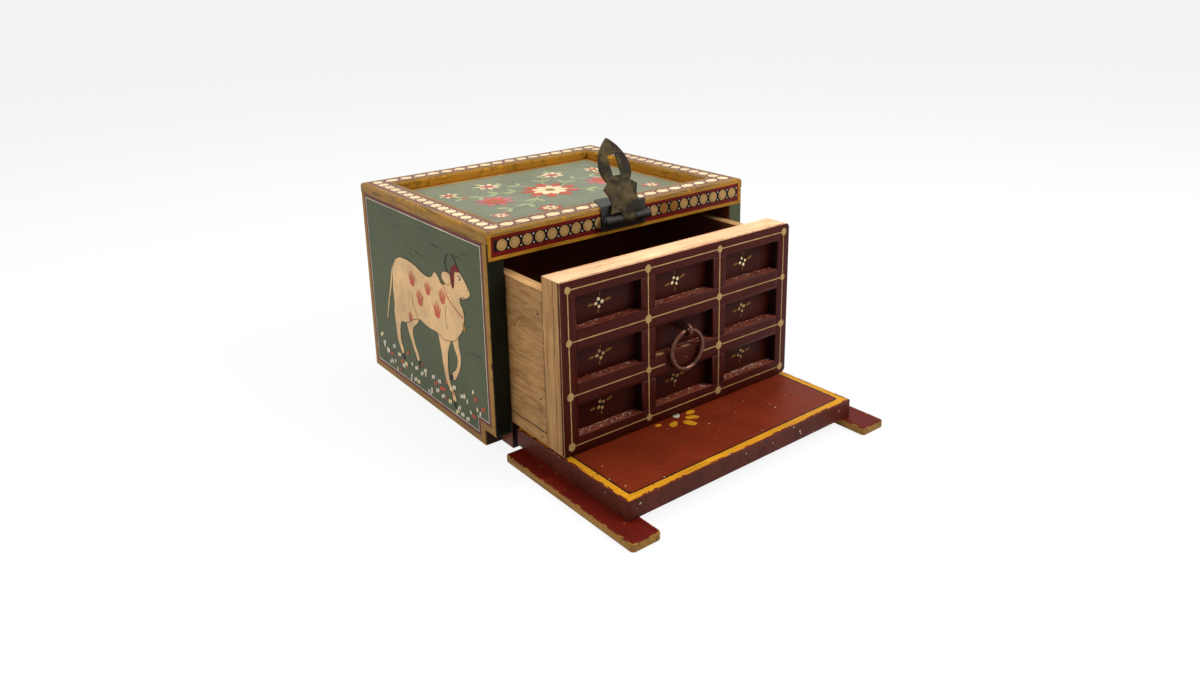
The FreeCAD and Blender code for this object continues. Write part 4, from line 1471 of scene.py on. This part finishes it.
# its petals: how many, distance from the heart, length, width as a share of that; size of the heart
CELL_PETALS = 4
CELL_PETAL_REACH = 2.7
CELL_PETAL_LONG = (2.3, 3.1)
CELL_PETAL_WIDE = 0.86
CELL_HEART = (3.0, 3.5)


def small_flower(painting, at, petals):
    """A flower of four pale petals round a dark heart, with gold leaves."""
    lean = painting.chance.uniform(-0.2, 0.2)
    for degrees, far, long, wide in CELL_LEAVES:
        turn = math.radians(degrees) + lean * 0.5
        leaf = Vector(at) + toward(turn) * far
        painting.dab("mark_dull_gold", leaf, (long, wide), turn=turn, points=10, wobble=0.12)
    painting.over()
    for number in range(CELL_PETALS):
        turn = 2 * math.pi / CELL_PETALS * (number + 0.2) + lean + painting.chance.uniform(-0.25, 0.25)
        petal = Vector(at) + toward(turn) * CELL_PETAL_REACH
        size = painting.chance.uniform(*CELL_PETAL_LONG)
        painting.dab(petals, petal, (size, size * CELL_PETAL_WIDE), turn=turn, points=10, wobble=0.14)
    painting.over()
    painting.dab("mark_black", at, CELL_HEART, points=10, wobble=0.12)


# the lattice: all of it, its uprights from the left, its level bars from the bottom, what slides on a board
LATTICE = (
    "frame_top", "frame_bottom", "frame_left", "frame_right",
    "bar_lower", "bar_upper", "bar_left", "bar_right",
)
UPRIGHTS = ("frame_left", "bar_left", "bar_right", "frame_right")
LEVELS = ("frame_bottom", "bar_lower", "bar_upper", "frame_top")
RUNNERS = ("frame_bottom", "frame_left", "frame_right")
LATTICE_ROUNDING = 0.5 * MM
# where the swinging ring has rubbed the ledge of the middle cell: place along it, length, width
RING_RUBS = [(-22.5, 7.0, 3.4), (2.5, 8.5, 2.6)]
# where it has rubbed the gold line under that cell: from, to
LINE_RUBS = [(-19.0, -11.5), (-9.0, 1.0), (2.0, 14.5)]
# flakes on one ledge: few, more or many, their paints, room at the ends and the back of the ledge,
# how far out they reach and how they thin out, length, lean, width as a share of the length
FLAKES = (40, 70, 150)
FLAKE_PAINTS = ("mark_flake", "mark_flake", "mark_rubbed")
FLAKE_ROOM = 1.2
FLAKE_BACK_ROOM = 0.5
FLAKE_REACH = 0.7
FLAKE_THINNING = 1.5
FLAKE_LONG = (0.5, 2.2)
FLAKE_LEAN = (-0.6, 0.6)
FLAKE_WIDE = (0.25, 0.6)
# rubs on a ledge's front edge: how many, room at its ends and after the last start, length, width, place
RUBS = 4
RUB_ROOM = 1
RUB_LAST = 14
RUB_LONG = (5, 20)
RUB_WIDE = (0.4, 0.8)
RUB_PLACE = 0.9
# black lines in the mitres: where they start, where they end at a square and at a rounded corner, width
MITRE_START = 0.3
MITRE_SQUARE = 0.95
MITRE_ROUND = 0.76
MITRE_WIDE = 0.6
# gold dots: how uneven they are, height as a share of the width
GOLD_UNEVEN = (0.85, 1.1)
GOLD_TALL = 1.1
# width of a rub in a gold line, as a share of the line's
LINE_RUB_WIDE = 1.6
# how far left of and above the middle of its cell a flower lies
CELL_LEFT = 3
CELL_UP = 0.5
# how near a rounded corner counts as in it, as a share of its rounding
CORNER_REACH = 1.1
# paint round the lattice's edge: where it starts behind the face, how far it runs on at the ends and on top,
# how far it stays from a square corner and from a rounded one
WRAP_START = 0.55
WRAP_END = 1.9
WRAP_TOP = 1.3
SQUARE_END = 0.6
ROUND_END = 4.2


def flaked_ledge(painting, left, right, depth):
    """Flaked paint along one ledge, thickest at its back, and a rubbed front edge."""
    chance = painting.chance
    for flake in range(chance.choice(FLAKES)):
        along = chance.uniform(left + FLAKE_ROOM, right - FLAKE_ROOM)
        inward = depth * (1 - FLAKE_REACH * chance.random() ** FLAKE_THINNING) - FLAKE_BACK_ROOM
        long = chance.uniform(*FLAKE_LONG)
        name = chance.choice(FLAKE_PAINTS)
        lean = chance.uniform(*FLAKE_LEAN)
        size = (long, long * chance.uniform(*FLAKE_WIDE))
        painting.dab(name, (along, inward), size, turn=lean, points=7, wobble=0.3)
    for rub in range(RUBS):
        start = chance.uniform(left + RUB_ROOM, right - RUB_LAST)
        end = min(start + chance.uniform(*RUB_LONG), right - RUB_ROOM)
        width = chance.uniform(*RUB_WIDE)
        ends = [(start, RUB_PLACE), (end, RUB_PLACE)]
        painting.stroke("mark_rubbed", ends, width, wobble=0.15, taper=0.6)


class TRINKET_OT_lattice(bpy.types.Operator):
    """Softens the lattice and paints its gold lines and its small flowers"""

    bl_idname = "trinket.lattice"
    bl_label = "Lattice"

    def execute(self, context):
        sizes = context.scene.trinket_sizes
        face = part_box("lattice_frame_top")[0].y
        low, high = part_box("drawer_front_board")
        near = sizes.round_corner * CORNER_REACH
        rounded_ends = {"frame_top": [high.z], "frame_bottom": [low.z], "frame_right": [low.z, high.z]}

        def in_corner(place):
            return place.x > high.x - near and min(place.z - low.z, high.z - place.z) < near

        def front_edge(edge):
            places = [vert.co for vert in edge.verts]
            rounded = all(in_corner(place) for place in places)
            return all(place.y < face + NEAR for place in places) and (rounded or long_and_straight(edge))

        for name in LATTICE:
            trims = corner_planes(rounded_ends.get(name, ()))
            bar = soften(
                f"lattice_{name}", lattice_dress, rounding=LATTICE_ROUNDING, edges=front_edge,
                curved=bool(trims), trims=trims,
            )
            if name in RUNNERS:
                clear_runner(bar)
        self.paint_gold(sizes, face)
        self.flake_ledges(face)
        self.wrap_edges(face)
        return {"FINISHED"}

    def flake_ledges(self, face):
        """Flaked and rubbed paint on the lower walls of the nine cells."""
        uprights = [in_mm(f"lattice_{name}") for name in UPRIGHTS]
        depth = uprights[0][1].y - uprights[0][0].y
        for row, name in enumerate(LEVELS[:3]):
            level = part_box(f"lattice_{name}")[1].z
            flakes = Painting(f"ledge_flakes_{row + 1}", (0, face, level), X, Y, seed=30 + row)
            if name == "bar_lower":
                for x, long, wide in RING_RUBS:
                    flakes.dab("mark_coin", (x, wide / 2 + 0.6), (long, wide), wobble=0.16)
                flakes.over()
            for start, end in zip(uprights, uprights[1:]):
                flaked_ledge(flakes, start[1].x, end[0].x, depth)
            flakes.done("drawer")

    def wrap_edges(self, face):
        """Paint that runs round the edge of the lattice onto its bare ends and its top."""
        low, high = in_mm("drawer_front_board")
        front = face / MM + WRAP_START
        for side, name, end in ((-1, "left", SQUARE_END), (1, "right", ROUND_END)):
            foot, head = low.z + end, high.z - end
            wrap = Painting(f"lattice_end_{name}", (side * high.x * MM, 0, 0), side * Y, Z, seed=36 + side)
            across = sorted((side * front, side * (front + WRAP_END)))
            wrap.patch("lattice_maroon", rectangle(*across, foot, head), wobble=0.2, step=4.0)
            wrap.over()
            wrap.stroke("mark_black", [(side * low.y, foot), (side * low.y, head)], 0.3, wobble=0.1)
            wrap.done("drawer")
        wrap = Painting("lattice_end_top", (0, 0, high.z * MM), X, Y, seed=39)
        edge = rectangle(low.x + SQUARE_END, high.x - ROUND_END, front, front + WRAP_TOP)
        wrap.patch("mark_rubbed", edge, wobble=0.25, step=3.0)
        wrap.done("drawer")

    def middle(self, name):
        """The middle of a bar in millimetres."""
        low, high = in_mm(f"lattice_{name}")
        return (low + high) / 2

    def paint_gold(self, sizes, face):
        """Lines along the bars, dots where they cross, flowers in the cells."""
        lines_x = [self.middle(name).x for name in UPRIGHTS]
        lines_z = [self.middle(name).z for name in LEVELS]
        outer_low, outer_high = in_mm("lattice_frame_bottom")[0], in_mm("lattice_frame_top")[1]
        gold = Painting("lattice_gold", (0, face, 0), X, Z, seed=14)
        width, dot = sizes.gold_width / MM, sizes.dot_radius / MM
        for x in lines_x:
            gold.stroke("mark_gold", [(x, lines_z[0]), (x, lines_z[-1])], width, wobble=0.09)
        for z in lines_z:
            gold.stroke("mark_gold", [(lines_x[0], z), (lines_x[-1], z)], width, wobble=0.09)
        ends = ((lines_x[0], outer_low.x, MITRE_SQUARE), (lines_x[-1], outer_high.x, MITRE_ROUND))
        for x, outer_x, reach in ends:
            for z, outer_z in ((lines_z[0], outer_low.z), (lines_z[-1], outer_high.z)):
                corner, start = Vector((outer_x, outer_z)), Vector((x, z))
                mitre = [start.lerp(corner, MITRE_START), start.lerp(corner, reach)]
                gold.stroke("mark_black", mitre, MITRE_WIDE, wobble=0.1)
        gold.over()
        for x in lines_x:
            for z in lines_z:
                size = dot * 2 * gold.chance.uniform(*GOLD_UNEVEN)
                gold.dab("mark_gold", (x, z), (size, size * GOLD_TALL), points=20, wobble=0.05)
        gold.over()
        for start, end in LINE_RUBS:
            rubbed = [(start, lines_z[1]), (end, lines_z[1])]
            gold.stroke("lattice_maroon", rubbed, width * LINE_RUB_WIDE, wobble=0.2, taper=0.5)
        gold.done("drawer")
        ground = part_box("drawer_front_board")[0].y
        cells = Painting("cell_flowers", (0, ground, 0), X, Z, seed=15)
        for column, (left, right) in enumerate(zip(lines_x, lines_x[1:])):
            for row, (low, high) in enumerate(zip(lines_z, lines_z[1:])):
                if (column, row) != (1, 1):
                    petals = "mark_cream" if row == 2 else "mark_gold"
                    at = ((left + right) / 2 - CELL_LEFT, (low + high) / 2 + CELL_UP)
                    small_flower(cells, at, petals)
        cells.done("drawer")


WIRE_ROUNDING = 0.1 * MM
RING_TREMBLE = 0.22 * MM


class TRINKET_OT_ring(bpy.types.Operator):
    """Roughens the pull ring and its eye"""

    bl_idname = "trinket.ring"
    bl_label = "Pull Ring"

    def execute(self, context):
        for node, tremble in (("ring_staple", 0.0), ("pull_ring", RING_TREMBLE)):
            soften(node, all_over("rusty_iron"), rounding=WIRE_ROUNDING, curved=True, tremble=tremble)
        return {"FINISHED"}


# loose front panel

def flat_dress(face, edge):
    """One finish on the broad faces of a board that lies flat, another on its edges."""
    return lambda normal, centre: face if abs(normal.z) > FACING else edge


# flat boards: finish of the faces and of the edges, rounding in millimetres
FLAT_BOARDS = {
    "front_panel_board": ("panel_red", "panel_edge", 0.5),
    "front_slat_left": ("slat_red", "slat_mustard", 0.9),
    "front_slat_right": ("slat_red", "slat_mustard", 0.9),
}
# the panel's worn flower: its heart and a whole petal
PANEL_HEART = (-11.5, -2)
PANEL_PETAL = (9.8, 6.2)
# petals left of it: place round the heart in degrees, distance, paint, share of a whole petal
PANEL_PETALS = [
    (7, 14.7, "mark_yellow", 0.9), (-25, 11.3, "mark_yellow", 1.0), (-74, 10.5, "mark_yellow", 1.1),
    (-151, 8.8, "mark_yellow", 0.9), (174, 17.8, "mark_yellow", 0.6), (61, 5.6, "mark_white", 0.9),
]
# the panel's yellow border: distance from the edge, gap to the black line inside it
BORDER_INSET = 0.9
BORDER_GAP = 1.3
# its chips: how many, distance from the edge, share of a side they lie along, lean, length, width
BORDER_CHIPS = 90
CHIP_INSET = 1.2
CHIP_REACH = 0.98
CHIP_LEAN = 0.15
CHIP_LONG = (1.0, 8.0)
CHIP_WIDE = (0.5, 1.5)
# the black line inside the border: width, rounding of its corners
INNER_LINE = 1.2
INNER_ROUNDING = 4.0


def chip_border(painting, half_x, half_y):
    """Chips along the outer edge of a painted border."""
    chance = painting.chance
    for chip in range(BORDER_CHIPS):
        along = chance.uniform(-CHIP_REACH, CHIP_REACH)
        side = chance.choice((-1, 1))
        turn = chance.uniform(-CHIP_LEAN, CHIP_LEAN)
        size = (chance.uniform(*CHIP_LONG), chance.uniform(*CHIP_WIDE))
        at = (along * half_x, side * half_y)
        if chance.random() * (half_x + half_y) >= half_x:
            at = (side * half_x, along * half_y)
            turn += math.pi / 2
        painting.dab("panel_edge", at, size, turn=turn, points=9, wobble=0.3)


class TRINKET_OT_front_panel(bpy.types.Operator):
    """Softens and paints the loose front panel, its slats and its staple"""

    bl_idname = "trinket.front_panel"
    bl_label = "Front Panel"

    def execute(self, context):
        for node, (face, edge, rounding) in FLAT_BOARDS.items():
            soften(node, flat_dress(face, edge), rounding=rounding * MM)
        soften("panel_staple", all_over("rusty_iron"), rounding=WIRE_ROUNDING, curved=True)
        self.paint(context.scene.trinket_sizes)
        return {"FINISHED"}

    def paint(self, sizes):
        """The border, its chips and the petals on the panel's upper face."""
        low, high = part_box("front_panel_board")
        middle, span = (low + high) / 2, (high - low) / MM
        cos, sin = math.cos(sizes.panel_turn), math.sin(sizes.panel_turn)
        shrink = 2 * math.cos(2 * sizes.panel_turn)
        half_x, half_y = (span.x * cos - span.y * sin) / shrink, (span.y * cos - span.x * sin) / shrink
        place = (middle.x, middle.y, high.z)
        painting = Painting("panel_painting", place, (cos, sin, 0), (-sin, cos, 0), seed=17)
        width = sizes.yellow_width / MM
        inset = BORDER_INSET + width / 2
        ring_line(painting, "mark_yellow", half_x - inset, half_y - inset, width, wobble=0.3)
        painting.over()
        inset = BORDER_GAP + width
        ring_line(painting, "mark_black", half_x - inset, half_y - inset, INNER_LINE, radius=INNER_ROUNDING)
        for degrees, distance, name, share in PANEL_PETALS:
            turn = math.radians(degrees)
            at = Vector(PANEL_HEART) + toward(turn) * distance
            painting.dab(name, at, Vector(PANEL_PETAL) * share, turn=turn, points=12, wobble=0.14)
        chip_border(painting, half_x - CHIP_INSET, half_y - CHIP_INSET)
        painting.done("front_panel")


# stage

WHITE = (1, 1, 1, 1)
FLOOR_GREY = (0.9, 0.9, 0.9, 1)
FLOOR_ROUGHNESS = 0.9
FLOOR_REACH = 40.0
SENSOR_WIDTH = 36
NEAREST_SEEN = 0.01
# lamps: place, width, power in watts
LAMPS = {
    "key_lamp": ((0.75, -1.0, 1.15), 0.8, 19.0),
    "side_lamp": ((-1.3, 0.15, 0.7), 0.9, 8.5),
    "top_lamp": ((0.05, 0.3, 1.45), 1.0, 13.0),
}


class TRINKET_OT_stage(bpy.types.Operator):
    """Sets the floor, the lamps and the camera"""

    bl_idname = "trinket.stage"
    bl_label = "Stage"

    def execute(self, context):
        scene = context.scene
        scene.view_settings.view_transform = "Standard"
        self.lay_floor(scene.trinket_stage)
        self.fill_world(scene)
        for name, (place, width, power) in LAMPS.items():
            self.hang_lamp(scene, name, Vector(place), width, power)
        self.set_camera(scene)
        return {"FINISHED"}

    def show_white(self, tree, shader, white, share, output):
        """Mixes a share of plain white into what the camera sees, straight or in gloss or glass."""
        path = tree.nodes.new("ShaderNodeLightPath").outputs
        seen = calc(tree, "MAXIMUM", path["Is Camera Ray"], path["Is Glossy Ray"])
        seen = calc(tree, "MAXIMUM", seen, path["Is Transmission Ray"])
        blend = tree.nodes.new("ShaderNodeMixShader")
        mix = (calc(tree, "MULTIPLY", seen, share), shader.outputs[0], white.outputs[0])
        for socket, value in zip(blend.inputs, mix):
            tree.links.new(value, socket)
        white.inputs["Color"].default_value = WHITE
        white.inputs["Strength"].default_value = 1.0
        tree.links.new(blend.outputs[0], output.inputs["Surface"])

    def lay_floor(self, stage):
        """A wide pale floor that keeps the box's shadow."""
        bm = bmesh.new()
        bmesh.ops.create_grid(bm, x_segments=1, y_segments=1, size=FLOOR_REACH)
        floor = new_piece("floor", bm, [])
        material = bpy.data.materials.new("pale_floor")
        material.use_nodes = True
        tree = material.node_tree
        shader = tree.nodes["Principled BSDF"]
        shader.inputs["Base Color"].default_value = FLOOR_GREY
        shader.inputs["Roughness"].default_value = FLOOR_ROUGHNESS
        shader.inputs["Specular IOR Level"].default_value = 0.0
        glow = tree.nodes.new("ShaderNodeEmission")
        self.show_white(tree, shader, glow, stage.floor_glow, tree.nodes["Material Output"])
        floor.data.materials.append(material)

    def fill_world(self, scene):
        """Soft white light from all round before a white backdrop."""
        scene.world = bpy.data.worlds.new("soft_white")
        scene.world.use_nodes = True
        tree = scene.world.node_tree
        light = tree.nodes["Background"]
        light.inputs["Color"].default_value = WHITE
        light.inputs["Strength"].default_value = scene.trinket_stage.daylight
        backdrop = tree.nodes.new("ShaderNodeBackground")
        self.show_white(tree, light, backdrop, 1.0, tree.nodes["World Output"])

    def hang_lamp(self, scene, name, place, width, power):
        """A square lamp that points at the box."""
        lamp = bpy.data.lights.new(name, "AREA")
        lamp.energy = power
        lamp.size = width
        holder = bpy.data.objects.new(name, lamp)
        holder.location = place
        way = Vector(scene.trinket_stage.lamp_target) - place
        holder.rotation_euler = way.to_track_quat("-Z", "Y").to_euler()
        scene.collection.objects.link(holder)

    def set_camera(self, scene):
        """The camera on its stand."""
        stand = scene.trinket_stage
        lens = bpy.data.cameras.new("camera")
        lens.sensor_width = SENSOR_WIDTH
        lens.lens = stand.camera_lens
        lens.shift_x = stand.shift_across
        lens.shift_y = stand.shift_up
        lens.clip_start = NEAREST_SEEN
        holder = bpy.data.objects.new("camera", lens)
        turn = Matrix.Rotation(-stand.camera_yaw, 4, "Z")
        turn @= Matrix.Rotation(math.pi / 2 - stand.camera_pitch, 4, "X")
        turn @= Matrix.Rotation(-stand.camera_roll, 4, "Z")
        holder.matrix_world = Matrix.Translation(stand.camera_place) @ turn
        scene.collection.objects.link(holder)
        scene.camera = holder


# the add-on

STEPS = (
    TRINKET_OT_carcass, TRINKET_OT_side_paintings, TRINKET_OT_bead_band, TRINKET_OT_top_painting,
    TRINKET_OT_coin_band, TRINKET_OT_hasp, TRINKET_OT_drawer, TRINKET_OT_lattice, TRINKET_OT_ring,
    TRINKET_OT_front_panel, TRINKET_OT_stage,
)


class TRINKET_PT_box(bpy.types.Panel):
    """Lists the steps that dress the box"""

    bl_idname = "TRINKET_PT_box"
    bl_label = "Trinket Box"
    bl_space_type = "VIEW_3D"
    bl_region_type = "UI"
    bl_category = "Trinket Box"

    def draw(self, context):
        for step in STEPS:
            self.layout.operator(step.bl_idname)
        for settings in GROUPS:
            group = getattr(context.scene, settings)
            for name in group.__annotations__:
                self.layout.prop(group, name)


GROUPS = {"trinket_colours": TrinketColours, "trinket_sizes": TrinketSizes, "trinket_stage": TrinketStage}
CLASSES = (*GROUPS.values(), *STEPS, TRINKET_PT_box)


def register():
    """Makes the settings, the steps and the panel known to Blender."""
    for item in CLASSES:
        bpy.utils.register_class(item)
    for name, group in GROUPS.items():
        setattr(bpy.types.Scene, name, bpy.props.PointerProperty(type=group))


def unregister():
    """Takes them out again."""
    for name in GROUPS:
        delattr(bpy.types.Scene, name)
    for item in reversed(CLASSES):
        bpy.utils.unregister_class(item)


def main():
    """Takes every step in order."""
    register()
    for step in STEPS:
        family, name = step.bl_idname.split(".")
        getattr(getattr(bpy.ops, family), name)()


if __name__ == "__main__":
    main()
